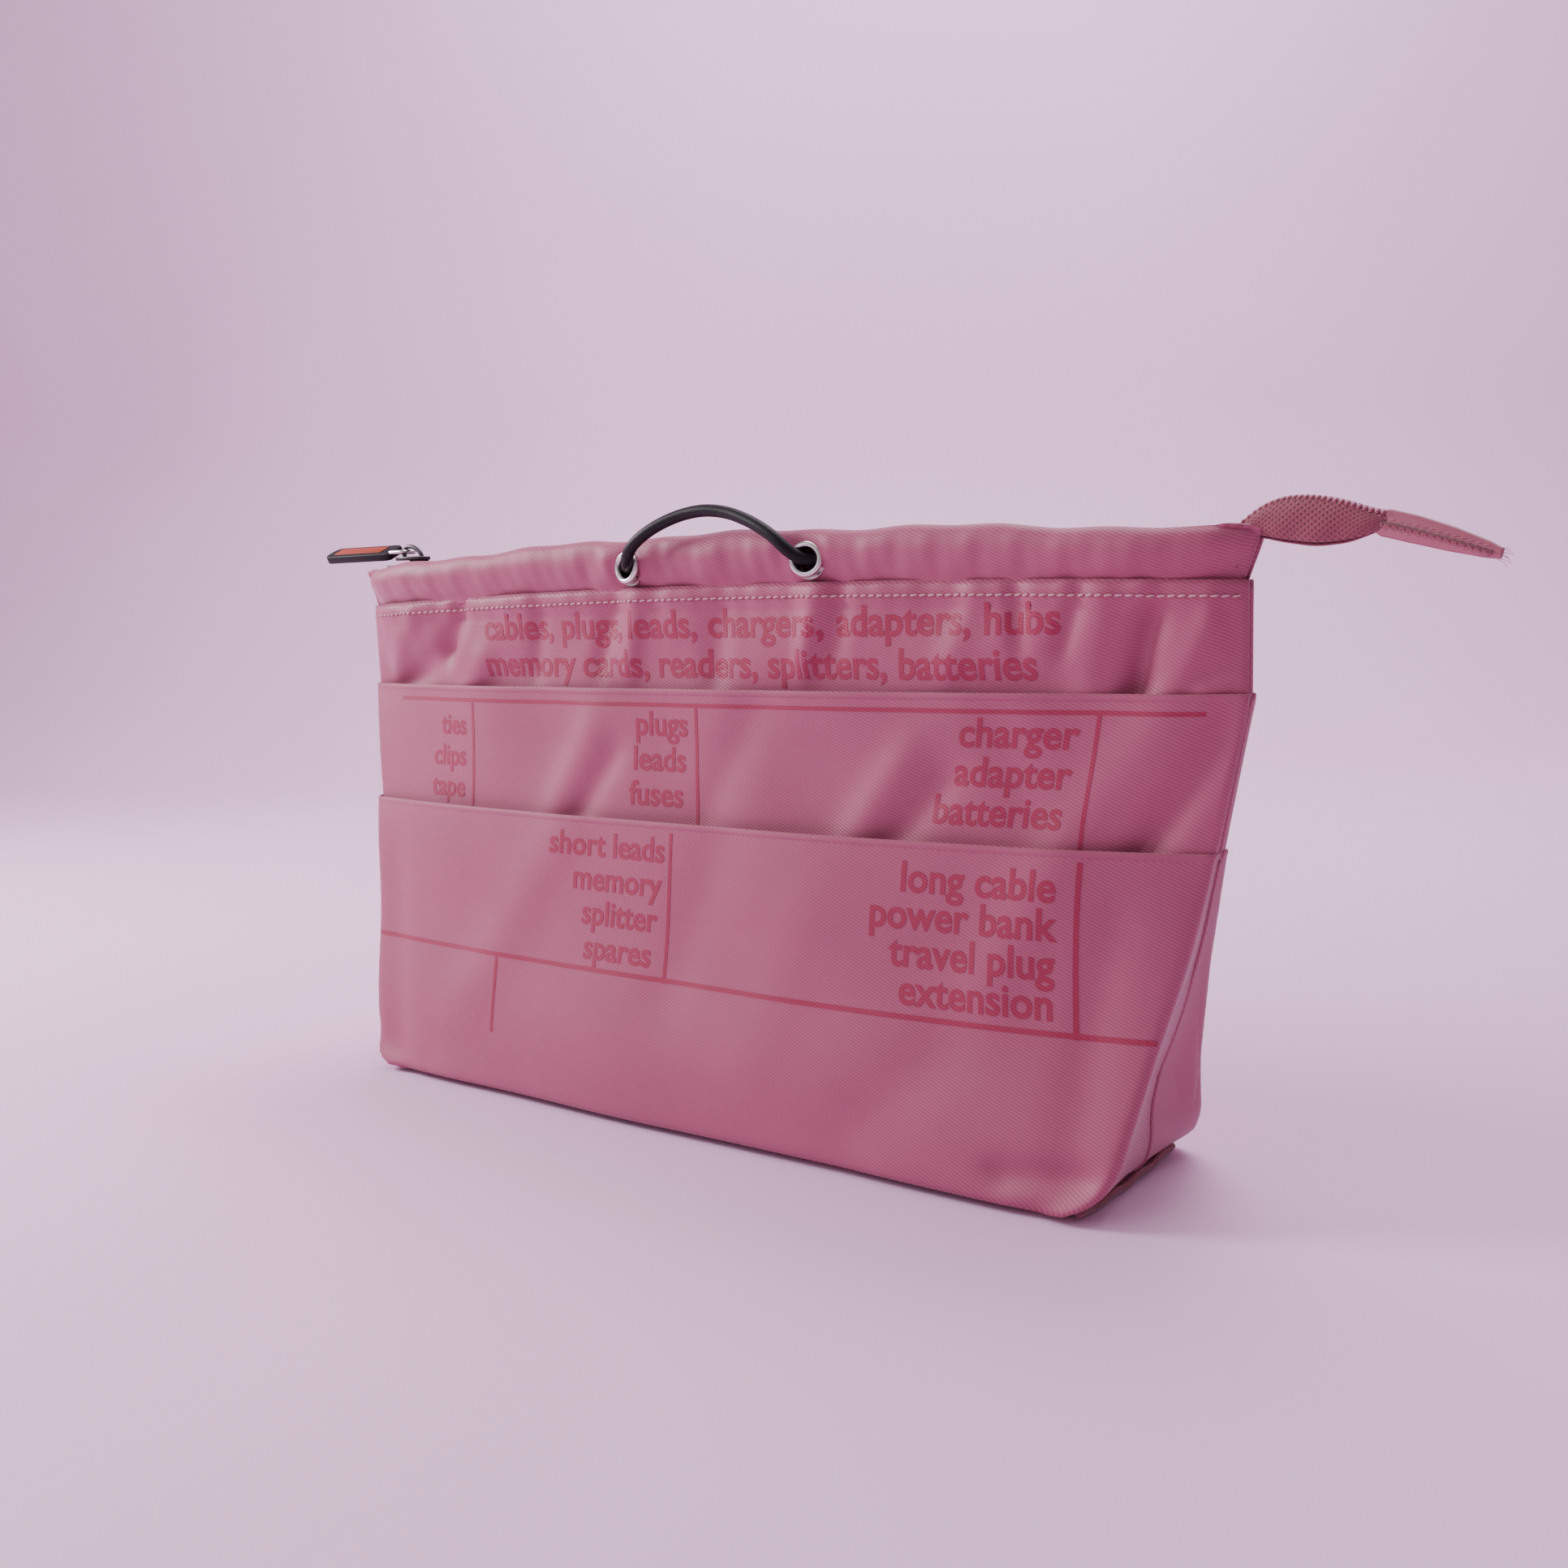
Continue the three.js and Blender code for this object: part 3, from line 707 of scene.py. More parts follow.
def bar_mesh(x0, z0, x1, z1):
    mesh = bpy.data.meshes.new("bar")
    mesh.from_pydata([(x0, z0, 0), (x1, z0, 0), (x1, z1, 0), (x0, z1, 0)], [], [(0, 1, 2, 3)])
    return mesh


def column(words, size, x, z, slip, pitch):
    """Words under each other, each ending at the right: x moves by slip and z down by pitch."""
    return [(word, size, x - slip * k, z - pitch * k, "RIGHT") for k, word in enumerate(words)]


def make_print(name, cloth, words, bars):
    """Words and ruled lines, laid on the cloth as one piece."""
    points, faces = [], []
    for mesh in [word_mesh(*word) for word in words] + [bar_mesh(*bar) for bar in bars]:
        more, its_faces = flat_print(mesh)
        faces += [[i + len(points) for i in face] for face in its_faces]
        points += more
    flat = np.array(points)[:, :2]
    laid = cloth.at(flat[:, 0], flat[:, 1], PRINT_PROUD)
    place(make_mesh(name, laid, faces, "print", flat, smooth=False), WALL_BAND, "pink_fabric")


# ---- the long faces: panel and two pocket tiers on each side ----
def seam_allowance(x, z):
    """The step over the edge that is turned in under the topstitching."""
    below = seam_height(x) - z
    return 0.8 * smoothstep((5.2 - below) / 1.6) * smoothstep((below + 1) / 0.8)


def panel_folds(x, z, side):
    above_pockets = smoothstep((z - 112) / 16)
    return upper_panel_folds(x, z, side) * above_pockets + seam_allowance(x, z)


def level(height):
    return lambda x: np.full_like(x, height, dtype=float)


def make_cloths(side):
    panel = Cloth(side, 0, 0.9, lambda x: seam_height(x) + 0.8, panel_folds, lambda z: 0.0)
    upper = Cloth(side, 1, 0.9, level(UPPER_HEM), upper_pocket_folds,
                  lambda z: 3.4 + smoothstep((90 - z) / 40))
    lower = Cloth(side, 2, 1.9, level(LOWER_HEM), lower_pocket_folds,
                  lambda z: 8.2 + 3.2 * smoothstep((80 - z) / 60))
    return panel, upper, lower


CLOTHS = {FRONT: make_cloths(FRONT), BACK: make_cloths(BACK)}


def hem_roll(cloth):
    """The folded hem of a pocket: a thin rounded edge along its top."""
    x = np.linspace(-CLOTH_HALF + 1, CLOTH_HALF - 1, 230)
    reach = 3.2
    section = [(0.02, -1.5), (0.14, -0.8), (0.16, -0.1), (0.02, 0.32), (-0.35, 0.42),
               (-0.75, 0.2), (-0.95, -0.5), (-0.9, -1.6), (-0.4, -1.9)]
    rings = []
    for proud, rise in section:
        low = cloth.at(x, cloth.top(x) - reach, proud)
        high = cloth.at(x, cloth.top(x), proud)
        rings.append(low + (high - low) * (rise + reach) / reach)
    grid = np.stack(rings, axis=1)
    count = len(section)
    uv = grid_uv(x, np.linspace(0, 9, count))
    faces = grid_faces(len(x), count, wrap_cols=True) + end_caps(count, 0, (len(x) - 1) * count)
    return correct_normals(make_mesh("hem", grid, faces, "fabric", uv))


def make_face(side, label):
    for cloth, part in zip(CLOTHS[side], ("panel", "upper_pocket", "lower_pocket")):
        piece = cloth.piece(f"{label}_{part}_cloth")
        if part != "panel":
            piece = join(f"{label}_{part}_cloth", [piece, hem_roll(cloth)])
        replaced = [f"{label}_{part}"]
        if side == BACK and part == "panel":
            replaced += ["gusset_left", "gusset_right"]
        place(piece, WALL_BAND if side == FRONT else "pouch_body", "pink_fabric", *replaced)


def make_prints():
    """Generic words for what goes in each pocket, with thin ruled lines."""
    panel, upper, lower = CLOTHS[FRONT]
    line = 1.1
    make_print("panel_print", panel, [
        ("cables, plugs, leads, chargers, adapters, hubs", 11.4, -92, 144.2, "LEFT"),
        ("memory cards, readers, splitters, batteries", 11.4, -92, 132.8, "LEFT")], [])
    words = column(("ties", "clips", "tape"), 9.4, -100.5, 113, 0.25, 10)
    words += column(("plugs", "leads", "fuses"), 10, -6, 115.5, 1, 10.25)
    words += column(("charger", "adapter", "batteries"), 10.6, 115.5, 115.6, 0.5, 10)
    bars = [(x, 80, x + line, 120.2) for x in (-97.5, -3.4, 119.6)]
    make_print("upper_pocket_print", upper, words, [(-136, 120.2, 146, 120.2 + line)] + bars)
    words = column(("short leads", "memory", "splitter", "spares"), 10, -10, 79.6, 1, 10)
    words += column(("long cable", "power bank", "travel plug", "extension"), 11, 115, 78.5, 0, 9.5)
    bars = [(-150, 42.2, 141, 42.2 + line * 1.2), (-8.6, 42, -8.6 + line, 84.5),
            (119.8, 42, 119.8 + line * 1.3, 84.5), (-75, 19, -75 + line, 42)]
    make_print("lower_pocket_print", lower, words, bars)


# ---- casings with their stitching ----
def casing_grid(side, columns=309, around=34):
    """Points round the folded strip at every column: up the outer face, over the rim, down inside."""
    grid = np.empty((columns, around, 3))
    arc = np.zeros((columns, around))
    for i, x in enumerate(np.linspace(-TOP_HALF_WIDTH - 0.6, TOP_HALF_WIDTH + 0.6, columns)):
        end = min(1.0, abs(x) / TOP_HALF_WIDTH) ** 12
        shut = smoothstep((abs(x) - (TOP_HALF_WIDTH - 2.4)) / 3.0)
        seam, rim = float(seam_height(x)), float(rim_height(x))
        rim += 0.45 * math.sin(x * 0.09 + 0.6) + 0.3 * math.sin(x * 0.23 + side)
        foot = 1.7 + 8.2 * (1 - end)
        belly = foot + 3.0 - 1.7 * smoothstep((abs(x) - 144) / 10)
        inner = min(5.0, 0.6 * foot) * (1 - 0.9 * smoothstep((abs(x) - 148) / 5))
        middle = 0.5 * (belly + inner)
        corners = np.array([
            [foot - 0.5, seam - 1.0], [foot - 0.1, seam + 0.7], [belly - 1.3, seam + 0.3 * (rim - seam)],
            [belly, seam + 0.62 * (rim - seam)], [belly - 0.7, rim - 1.8], [belly - 2.4, rim - 0.1],
            [middle, rim + 0.15], [inner + 1.4, rim - 0.4], [inner, rim - 2.2],
            [inner - 0.1, seam + 0.45 * (rim - seam)], [inner + 0.4, seam + 1.2]])
        knots = np.linspace(0, 1, len(corners))
        t = np.linspace(0, 1, around)
        profile = np.stack([catmull(knots, corners[:, k], t) for k in (0, 1)], axis=1)
        up = np.clip((profile[:, 1] - seam) / (rim - seam), 0, 1)
        swell = np.sin(np.pi * np.clip(up * 0.92 + 0.06, 0, 1))
        gather = (0.55 * np.sin(x * 0.17 + 2.6 * up + 2.1 * math.sin(x * 0.037))
                  + 0.42 * np.sin(x * 0.41 - 2.4 * up + 1.7 * math.sin(x * 0.061 + 1))
                  + 0.16 * np.sin(x * 1.03 + 1.5 * up + 0.4))
        near = sum(math.exp(-((x - e) / 21) ** 2) for e in EYELET_X) if side == FRONT else 0.3
        push = swell * gather * (0.42 + 0.55 * near)
        if side == FRONT:
            push += 1.5 * swell * math.exp(-((x - 4.2) / 17) ** 2)
            for e, lean in zip(EYELET_X, (1, -1)):
                push -= 1.1 * swell * math.exp(-((x - e) / 5.5) ** 2)
                push += 0.9 * swell * np.exp(-((x - e + lean * (13 - 7 * up)) / 4.2) ** 2)
        profile[:, 0] += np.where(t < 0.55, push, 0.25 * push)
        profile[:, 0] += (middle - profile[:, 0]) * 0.75 * shut
        grid[i, :, 0] = x * (0.983 + 0.028 * up)
        grid[i, :, 1] = side * profile[:, 0]
        grid[i, :, 2] = profile[:, 1]
        arc[i, 1:] = np.cumsum(np.hypot(*np.diff(profile, axis=0).T))
    return grid, arc


def catmull(knots, values, t):
    """A smooth curve through values at even knots."""
    tangents = np.gradient(values, knots)
    k = np.clip(np.searchsorted(knots, t, side="right") - 1, 0, len(knots) - 2)
    width = knots[k + 1] - knots[k]
    u = (t - knots[k]) / width
    a, b = values[k], values[k + 1]
    return ((2 * u**3 - 3 * u**2 + 1) * a + (u**3 - 2 * u**2 + u) * width * tangents[k]
            + (-2 * u**3 + 3 * u**2) * b + (u**3 - u**2) * width * tangents[k + 1])


HOLE_RADIUS = 3.7
WALL_BODY = {FRONT: "front_wall", BACK: "pouch_body"}


def in_hole(place_at):
    """Whether a place on the casing's outer layer is in one of the two eyelet holes."""
    x, y, z = place_at
    return y < -9.5 and any(math.hypot(x - e, z - EYELET_Z) < HOLE_RADIUS for e in EYELET_X)


def make_casing(side, label):
    grid, arc = casing_grid(side)
    columns, around = grid.shape[:2]
    uv = np.stack([grid[..., 0], arc + 160], axis=2).reshape(-1, 2)
    faces = grid_faces(columns, around, side == FRONT)
    if side == FRONT:
        flat = grid.reshape(-1, 3)
        faces = [face for face in faces if not in_hole(flat[list(face)].mean(axis=0))]
    made = make_mesh(f"{label}_casing_cloth", grid, faces, "fabric", uv)
    place(solidify(made, FABRIC), WALL_BODY[side], "pink_fabric", f"{label}_casing")
    x = np.linspace(-CLOTH_HALF + 4, CLOTH_HALF - 4, 500)
    path = CLOTHS[side][0].at(x, seam_height(x) - 3.0, 0.32)
    place(stitch_line(f"{label}_topstitch", path), WALL_BODY[side], "binding")


# ---- eyelets ----
def revolve(name, profile, material, segments=64):
    """A ring turned round the Y axis; profile is a closed list of (radius, y)."""
    turn = np.arange(segments) * math.tau / segments
    verts = [[(r * math.cos(a), y, r * math.sin(a)) for r, y in profile] for a in turn]
    count = len(profile)
    faces = grid_faces(segments, count, wrap_cols=True, wrap_rows=True)
    return correct_normals(make_mesh(name, verts, faces, material))


def make_eyelets():
    inner, outer = 3.0, 4.9
    middle, half = (inner + outer) / 2, (outer - inner) / 2
    rolled = [(middle + half * math.cos(a), -0.15 - 1.15 * math.sin(a)) for a in np.linspace(0, math.pi, 14)]
    profile = rolled + [(inner, 1.6), (inner + 0.35, 1.6), (inner + 0.4, 0.3), (outer - 0.1, 0.25)]
    for label, x, turned in zip(("left", "right"), EYELET_X, (-8, 14)):
        ring = revolve(f"eyelet_ring_{label}", profile, "nickel")
        ring.rotation_euler = (math.radians(-4), 0, math.radians(turned))
        ring.location = (x * MM, -12.5 * MM, EYELET_Z * MM)
        place(ring, "front_wall", "nickel", f"eyelet_{label}")


# ---- drawcord ----
CORD_DIAMETER = 3.5
CORD_ROUTE = [
    (-144, -6.3, 157.4), (-118, -7.4, 159.2), (-88, -8.0, 160.6), (-62, -8.2, 160.9),
    (-46, -8.2, 160.8), (-38, -8.2, 160.7), (-34.3, -8.2, 160.7), (-31.9, -8.6, 160.7),
    (-29.8, -9.85, 160.7), (-28.5, -11.2, 160.7), (-27.7, -12.4, 160.75), (-26.8, -13.7, 161.1),
    (-25.4, -15.4, 162.2), (-23.6, -16.8, 164.2), (-21, -17.4, 166.8), (-16.5, -17.2, 169.8),
    (-10.5, -16.4, 172.6), (-3.5, -15.6, 174.6), (4.2, -15.4, 175.3), (12, -15.6, 174.3),
    (19, -16.4, 172.1), (25, -17.2, 169.4), (29.4, -17.4, 166.6), (32, -16.8, 164.1),
    (33.8, -15.4, 162.2), (35.2, -13.7, 161.1), (36.1, -12.4, 160.75), (36.9, -11.2, 160.7),
    (38.2, -9.85, 160.7), (40.3, -8.6, 160.7), (42.7, -8.2, 160.7), (46.4, -8.2, 160.7), (54, -8.2, 160.8),
    (70, -8.2, 160.8), (95, -8.0, 160.2), (120, -7.4, 159.0), (144, -6.3, 157.4)]


def make_drawcord():
    path = smooth_route(CORD_ROUTE, 1.0)
    piece = tube("drawcord_braid", path, CORD_DIAMETER / 2, "cord", sides=20)
    place(piece, "front_wall", "black_cord", "drawcord")


def make_bartacks():
    for label, end in (("left", -1), ("right", 1)):
        centres = [(end * (143.6 + 0.7 * k), -4.6, 157.4 - 0.1 * k) for k in range(6)]
        tack = beads(f"bartack_thread_{label}", centres, [(0.05, 0.1, 1)] * 6, 3.4, 0.4, "thread")
        place(tack, "front_wall", "binding", f"cord_bartack_{label}")


# ---- side seams ----
def make_side_seams():
    """The seam down the middle of each end, in one length for each layer that shows there."""
    feet = (UPPER_HEM - 1.5, LOWER_HEM - 1.5, 1.2)
    for label, end in (("left", -1), ("right", 1)):
        for tier, cloth, low in zip(("top", "middle", "foot"), CLOTHS[BACK], feet):
            edge = cloth.points[:, 0 if end < 0 else -1]
            height = np.arange(low, float(edge[-1, 2]) - 0.4, 1.5)
            route = np.column_stack([np.interp(height, edge[:, 2], edge[:, 0]) - end * 0.1,
                                     np.full_like(height, -0.05), height])
            ridge = tube(f"seam_{label}_{tier}", route, 0.62, "fabric", sides=10)
            place(ridge, "pouch_body", "pink_fabric")


# ---- base ----
def rounded_box(x0, x1, half, radius, steps):
    """The outline of a level rectangle from x0 to x1 and half wide each way, with round corners."""
    outline = []
    left, right, depth = x0 + radius, x1 - radius, half - radius
    for x, y, start in ((right, depth, 0), (left, depth, 90), (left, -depth, 180), (right, -depth, 270)):
        for a in np.radians(np.linspace(start, start + 90, steps)):
            outline.append((x + radius * math.cos(a), y + radius * math.sin(a)))
    return np.array(outline)


def make_base():
    outline = rounded_box(2 - BASE_HALF_WIDTH, BASE_HALF_WIDTH - 2, 30, 9, 8)
    centre = outline.mean(axis=0)
    rings = []
    for inset, z in ((0, 1.7), (0.2, 0.9), (1.2, 0.25), (3.0, 0.0), (30, 0.0)):
        scale = 1 - inset / np.linalg.norm(outline - centre, axis=1, keepdims=True)
        flat = centre + (outline - centre) * scale
        rings.append(np.column_stack([flat, np.full(len(flat), z)]))
    grid = np.array(rings)
    count = len(outline)
    faces = grid_faces(len(rings), count, wrap_cols=True) + end_caps(count, 0, (len(rings) - 1) * count)
    made = make_mesh("base_cloth", grid, faces, "fabric", grid.reshape(-1, 3)[:, :2])
    place(correct_normals(made), "pouch_body", "pink_fabric", "base_panel")
    for label, end in (("left", -1), ("right", 1)):
        y = np.linspace(-29, 29, 40)
        x = end * (BASE_HALF_WIDTH - 0.4 - 1.2 * (np.abs(y) / 29) ** 3)
        route = np.column_stack([x, y, np.full_like(y, 1.5) + 0.3 * np.sin(y * 0.4)])
        strip = tube(f"base_piping_{label}", route, 0.9, "binding", sides=10)
        place(strip, "pouch_body", "binding", f"base_binding_{label}")


# ---- zip in the mouth ----
COIL_PITCH = 1.3
COIL_Z = 164.2


def make_zip_side(side, label):
    x = np.linspace(-151, 151, 240)
    section = [(4.3, 154.5), (4.2, 157.0), (3.6, 159.6), (2.4, 162.0), (1.0, 163.2), (0.35, 163.3)]
    grid = np.empty((len(x), len(section), 3))
    for k, (depth, z) in enumerate(section):
        grid[:, k, 0] = x
        grid[:, k, 1] = side * (depth - 1.6 * np.abs(x / TOP_HALF_WIDTH) ** 3 * min(1, depth / 3))
        grid[:, k, 2] = z
    uv = grid_uv(x, np.arange(len(section)) * 2.6)
    faces = grid_faces(len(x), len(section), side == FRONT)
    tape = make_mesh(f"{label}_tape_weave", grid, faces, "tape", uv)
    place(solidify(tape, 0.5, 0), WALL_BODY[side], "zip_tape", f"{label}_zip_tape")
    shift = 0 if side == FRONT else COIL_PITCH / 2
    xs = np.arange(-142.5 + shift, 151, COIL_PITCH)
    centres = np.column_stack([xs, np.full_like(xs, side * 0.95), np.full_like(xs, COIL_Z)])
    teeth = beads(f"{label}_coil", centres, [(0.12, 1, 0)] * len(xs), 2.9, 0.56, "coil")
    place(teeth, WALL_BODY[side], "zip_coil", f"{label}_zip_teeth")


def slab(name, outline, z0, z1, material, bevel=0.35, segments=3):
    """A flat plate with rounded edges, from a level outline and two heights."""
    count = len(outline)
    verts = [(x, y, z0) for x, y in outline] + [(x, y, z1) for x, y in outline]
    faces = [tuple(range(count))[::-1], tuple(range(count, 2 * count))]
    faces += [(k, (k + 1) % count, count + (k + 1) % count, count + k) for k in range(count)]
    made = correct_normals(make_mesh(name, verts, faces, material))
    modifier = made.modifiers.new("edge", "BEVEL")
    modifier.width = bevel * MM
    modifier.segments = segments
    modifier.limit_method = "ANGLE"
    modifier.angle_limit = math.radians(35)
    return apply_modifiers(made)


SLIDER_X = -135
PIVOT = (-137, 0, 169.6)
GRIP_TIP_X = -177.6


def make_slider():
    x = SLIDER_X
    near = [(x - 5.7, -2.9), (x - 4.2, -3.9), (x + 1, -4.1), (x + 5.7, -2.6)]
    top = slab("slider_top", near + [(px, -y) for px, y in reversed(near)], 166.7, 167.9, "enamel")
    side = [(x - 5, 2.5), (x + 4, 2.5), (x + 4, 3.4), (x - 5, 3.4)]
    wing = slab("slider_wing", side, 164.4, 167.0, "enamel", 0.25)
    arc = [(x - 4.4, 0, 167.4), (x - 4.2, 0, 169.6), (x - 3.2, 0, 171.0), (x - 0.8, 0, 171.3),
           (x + 2, 0, 170.4), (x + 3.8, 0, 168.8), (x + 4.4, 0, 167.4)]
    bridge = tube("slider_bridge", smooth_route(arc, 0.4), 0.75, "enamel", sides=12)
    place(join("slider_body", [top, wing, bridge]), "zip_slider", "slider_metal", "slider")


def make_puller():
    px, py, pz = PIVOT
    loop = [(x, py + y, pz) for x, y in rounded_box(px - 7.0, px + 0.2, 2.9, 1.1, 6)]
    wire = tube("puller_wire", loop, 0.72, "nickel", sides=12, closed=True)
    place(wire, "puller", "slider_metal", "puller_link")
    x0, x1, half, corner = GRIP_TIP_X - px, -6.4, 4.0, 3
    outline = [(x1, 0.9 - half), (x1, half - 0.9), (x1 - 1.6, half - 0.1)]
    for y, start in ((half - corner, 90), (corner - half, 180)):
        for a in np.radians(np.linspace(start, start + 90, 7)):
            outline.append((x0 + corner + corner * math.cos(a), y + corner * math.sin(a)))
    outline.append((x1 - 1.6, 0.1 - half))
    grip = slab("puller_grip_body", outline, -1.35, 1.35, "rubber", 0.55, 4)
    window = [(x0 + 4.4, -2.3), (x0 + 4.4, 2.3), (-11.6, 2.3), (-11.6, -2.3)]
    badge = join("puller_insert_body", [slab("over", window, 1.1, 1.62, "orange", 0.2),
                                        slab("under", window, -1.62, -1.1, "orange", 0.2)])
    for piece in (grip, badge):
        piece.rotation_euler = (math.radians(25), 0, 0)
        piece.location = [v * MM for v in PIVOT]
    place(grip, "puller", "black_rubber", "puller_grip")
    place(badge, "puller", "orange_insert", "puller_insert")


# ---- zip tail and end tab ----
TAIL_X = (146.5, 183.5)
TAIL_TOP = [(146, 160.5), (150, 163.6), (154, 167.0), (158, 169.2), (164, 170.0), (172.5, 168.7),
            (183.5, 164.7)]
TAIL_FOOT = [(146, 158.6), (150, 161.0), (155, 162.2), (160, 161.0), (168, 159.7), (175.3, 160.0),
             (180.5, 161.4), (183.5, 162.2)]


def tail_line(x, corners):
    """Heights along a line through its corners, eased by a running mean."""
    heights = np.interp(x, *zip(*corners))
    return np.convolve(np.pad(heights, 6, mode="edge"), np.ones(13) / 13, "valid")


def tail_layer(side):
    """One half of the folded tape past the zip's end, puffed out in its middle."""
    x = np.linspace(*TAIL_X, 90)
    down = np.linspace(0, 1, 22)
    t = (x - TAIL_X[0]) / (TAIL_X[1] - TAIL_X[0])
    puff = 0.25 + np.sin(np.pi * np.clip(t, 0, 1)) ** 0.8
    grid = np.empty((len(x), len(down), 3))
    top = tail_line(x, TAIL_TOP)
    foot = tail_line(x, TAIL_FOOT)
    foot = foot + (0 if side == FRONT else -0.9) * np.sin(np.pi * t)
    for k, v in enumerate(down):
        belly = 1.9 * np.sin(np.pi * min(1, v * 0.9 + 0.04)) ** 0.7 * puff + 0.25
        wave = 0.18 * np.sin(x * 0.7 + 5 * v + side) * v
        grid[:, k] = np.column_stack([x, side * (belly + wave), top + (foot - top) * v])
    faces = grid_faces(len(x), len(down), side == BACK)
    made = make_mesh("layer", grid, faces, "tape", grid_uv(x, down * 9))
    return solidify(made, 0.5, 0)


def make_tail():
    tape = join("tail_tape_weave", [tail_layer(FRONT), tail_layer(BACK)])
    place(tape, TAIL_BAND, "zip_tape", "zip_tail_tape")
    xs = np.arange(TAIL_X[0], TAIL_X[1] - 0.5, COIL_PITCH / 2)
    top = tail_line(xs, TAIL_TOP)
    sides = np.where(np.arange(len(xs)) % 2, 0.45, -0.45)
    centres = np.column_stack([xs, sides, top + 0.35])
    teeth = beads("tail_coil", centres, [(0.1, 1, 0.25)] * len(xs), 2.3, 0.5, "coil")
    place(teeth, TAIL_BAND, "zip_coil", "zip_tail_teeth")
    edge = np.column_stack([xs, np.full_like(xs, -1.0), top - 0.55])
    seam = stitch_line("tail_stitch", edge, 1.3, 0.9, 0.13, "pink_thread")
    place(seam, TAIL_BAND, "zip_tape")


def tab_middle(t):
    """The tab's middle line, from the tape (0) to its tip (1)."""
    x = 181.6 + 25.6 * t
    return x, 163.6 - 8.0 * t ** 1.15


def make_tab():
    rows, cols = 60, 12
    t = np.linspace(0, 1, rows)
    x, z = tab_middle(t)
    half = np.interp(t, [0, 0.06, 0.3, 0.6, 0.88, 1], [2.2, 2.9, 2.9, 2.5, 1.7, 1.0])
    layers = []
    for side in (FRONT, BACK):
        grid = np.empty((rows, cols, 3))
        for k, v in enumerate(np.linspace(-1, 1, cols)):
            crown = 0.55 * (1 - v * v) + 0.18
            grid[:, k] = np.column_stack([
                x + v * half * 0.28, side * crown + 0.35 * np.sin(3 * t) * v, z + v * half])
        faces = grid_faces(rows, cols, side == FRONT)
        uv = grid_uv(t * 28, np.linspace(0, 6, cols))
        layers.append(solidify(make_mesh("layer", grid, faces, "film", uv), 0.35, 0))
    place(join("end_tab_film", layers), TAB_BAND, "tab_film", "end_tab")
    core_t = np.linspace(0.03, 0.93, 60)
    core_x, core_z = tab_middle(core_t)
    core_path = np.column_stack([core_x, 0.1 * np.sin(core_t * 9) - 0.95, core_z - 0.35])
    core_radius = np.interp(core_t, [0.03, 0.1, 0.93], [0.5, 0.72, 0.6])
    core = tube("end_tab_core_strip", core_path, core_radius, "tape", 10)
    place(core, TAB_BAND, "zip_tape", "end_tab_core")
    edges = []
    for name, lift in (("upper", 0.95), ("lower", -1.45)):
        path = np.column_stack([core_x, np.full_like(core_x, -0.88), core_z + lift])
        edges.append(stitch_line(name, path, 1.7, 1.2, 0.13, "pink_thread"))
    place(join("end_tab_stitches", edges), TAB_BAND, "zip_tape")
    threads = []
    tip_x, tip_z = tab_middle(0.985)
    for k in range(7):
        spread = (k - 3) * 0.42
        start = (tip_x - 0.6, 0.1 * (k - 3), tip_z + spread)
        bend = (tip_x + 0.9 + 0.25 * (k % 3), 0.2 * (k - 3), tip_z - 0.5 + spread * 1.25)
        end = (tip_x + 1.5 + 0.5 * ((k * 2) % 3), 0.34 * (k - 3), tip_z - 1.0 + spread * 1.6)
        threads.append(tube(f"fray_{k}", smooth_route([start, bend, end], 0.25), 0.07, "pink_thread", 6))
    place(join("end_tab_fray", threads), TAB_BAND, "zip_tape")


# ---- CAD nodes that stay, with their finish ----
def finish_kept_nodes():
    kept = {"base_board": "board", "side_binding_left": "binding", "side_binding_right": "binding",
            "eyelet_washer_left": "nickel", "eyelet_washer_right": "nickel",
            "front_zip_stop": "nickel", "back_zip_stop": "nickel"}
    for node, material in kept.items():
        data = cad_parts[node].data
        data.materials.clear()
        data.materials.append(MATERIAL[material])


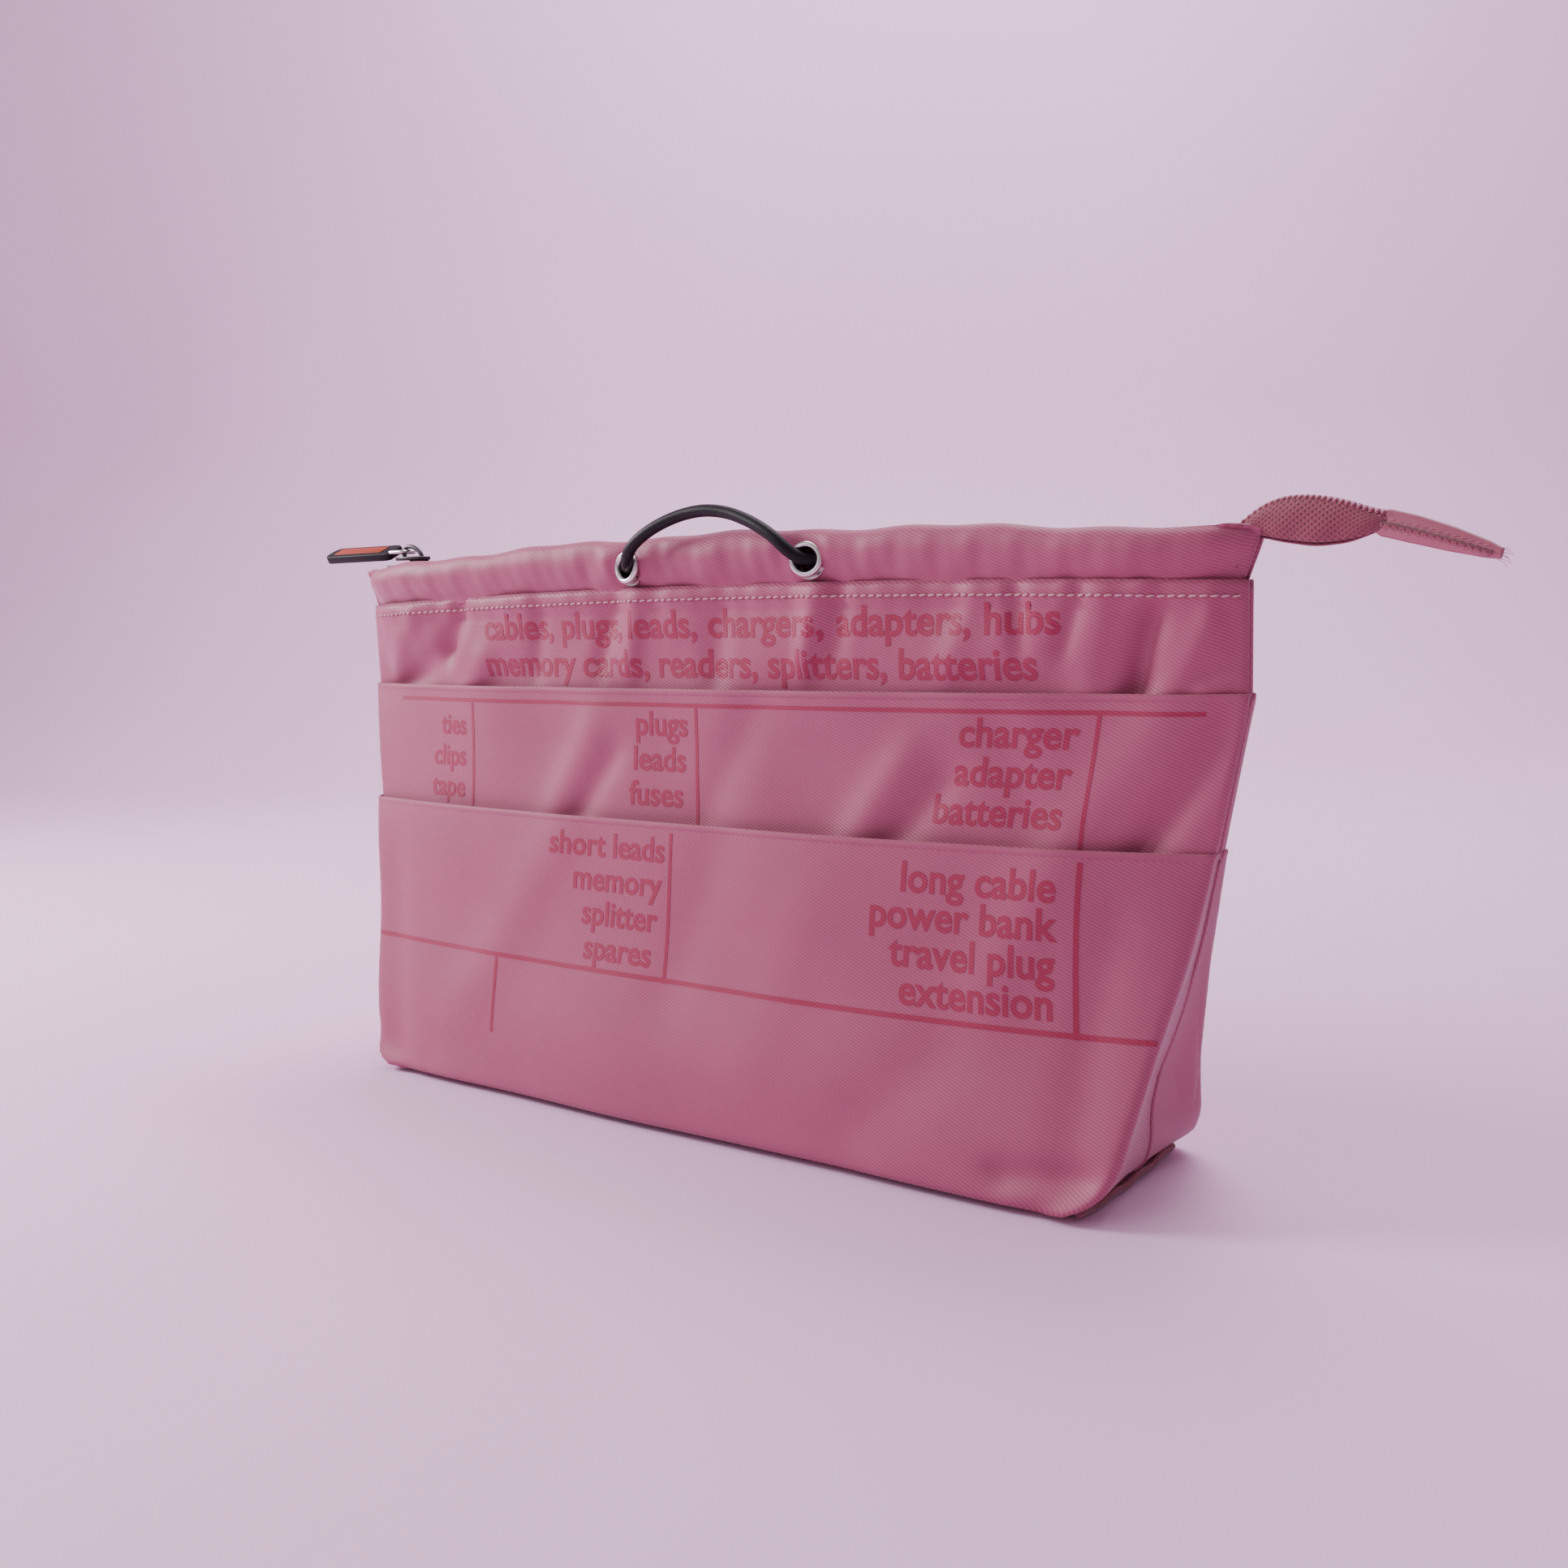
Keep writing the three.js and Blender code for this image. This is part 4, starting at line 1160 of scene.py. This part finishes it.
# ---- floor and light ----
def make_stage():
    """A pale floor that curves up into a backdrop square to the camera."""
    surface = Shader("studio", (0.88, 0.58, 0.83), 0.6, Specular_IOR_Level=0.2)
    soft = surface.noise(3, 2)
    MATERIAL["studio"] = surface.finish(surface.tint(surface.color, soft, 0.97, 1.02))
    near, wall, bend, top, half_length = -9000, 900, 350, 3000, 7000
    gap_under_feet = 0.2
    sweep = [(near, 0), (wall, 0)]
    for a in np.linspace(0.15, math.pi / 2, 10):
        sweep.append((wall + bend * math.sin(a), bend - bend * math.cos(a)))
    sweep.append((wall + bend, top))
    cos, sin = math.cos(CAMERA_YAW), math.sin(CAMERA_YAW)
    points = [(across * cos - distance * sin, across * sin + distance * cos, height - gap_under_feet)
              for across in (-half_length, half_length) for distance, height in sweep]
    floor = make_mesh("studio_floor", points, grid_faces(2, len(sweep)), "studio")
    world = bpy.data.worlds.new("studio_world")
    world.use_nodes = True
    world.node_tree.nodes["Background"].inputs["Color"].default_value = (0.84, 0.72, 0.82, 1)
    world.node_tree.nodes["Background"].inputs["Strength"].default_value = 0.48
    bpy.context.scene.world = world


def area_light(name, place_at, target, size, power, color):
    """A soft square light at one place, aimed at another, in metres."""
    light = bpy.data.lights.new(name, "AREA")
    light.size = size
    light.energy = power
    light.color = color
    lamp = bpy.data.objects.new(name, light)
    lamp.location = place_at
    lamp.rotation_euler = (Vector(target) - Vector(place_at)).to_track_quat("-Z", "Y").to_euler()
    bpy.context.collection.objects.link(lamp)


def make_lights():
    area_light("key_light", (-0.75, -0.33, 0.52), (-0.02, 0, 0.06), 0.32, 8.6, (1.0, 0.95, 0.98))
    area_light("front_light", (-0.5, -1.2, 0.8), (0, 0, 0.08), 0.9, 4, (1.0, 0.94, 0.98))
    area_light("overhead_light", (0.1, 0.45, 1.3), (0.1, 0.3, 0), 1.1, 9, (1.0, 0.94, 0.99))
    area_light("backdrop_light", (-0.2, 0.6, 1.3), (-0.6, 1.4, 0.1), 0.9, 14, (0.96, 0.93, 1.0))


make_camera()
make_drawcord()
make_bartacks()
for side, label in ((FRONT, "front"), (BACK, "back")):
    make_face(side, label)
    make_casing(side, label)
    make_zip_side(side, label)
make_prints()
make_eyelets()
make_side_seams()
make_base()
make_slider()
make_puller()
make_tail()
make_tab()
finish_kept_nodes()
make_stage()
make_lights()
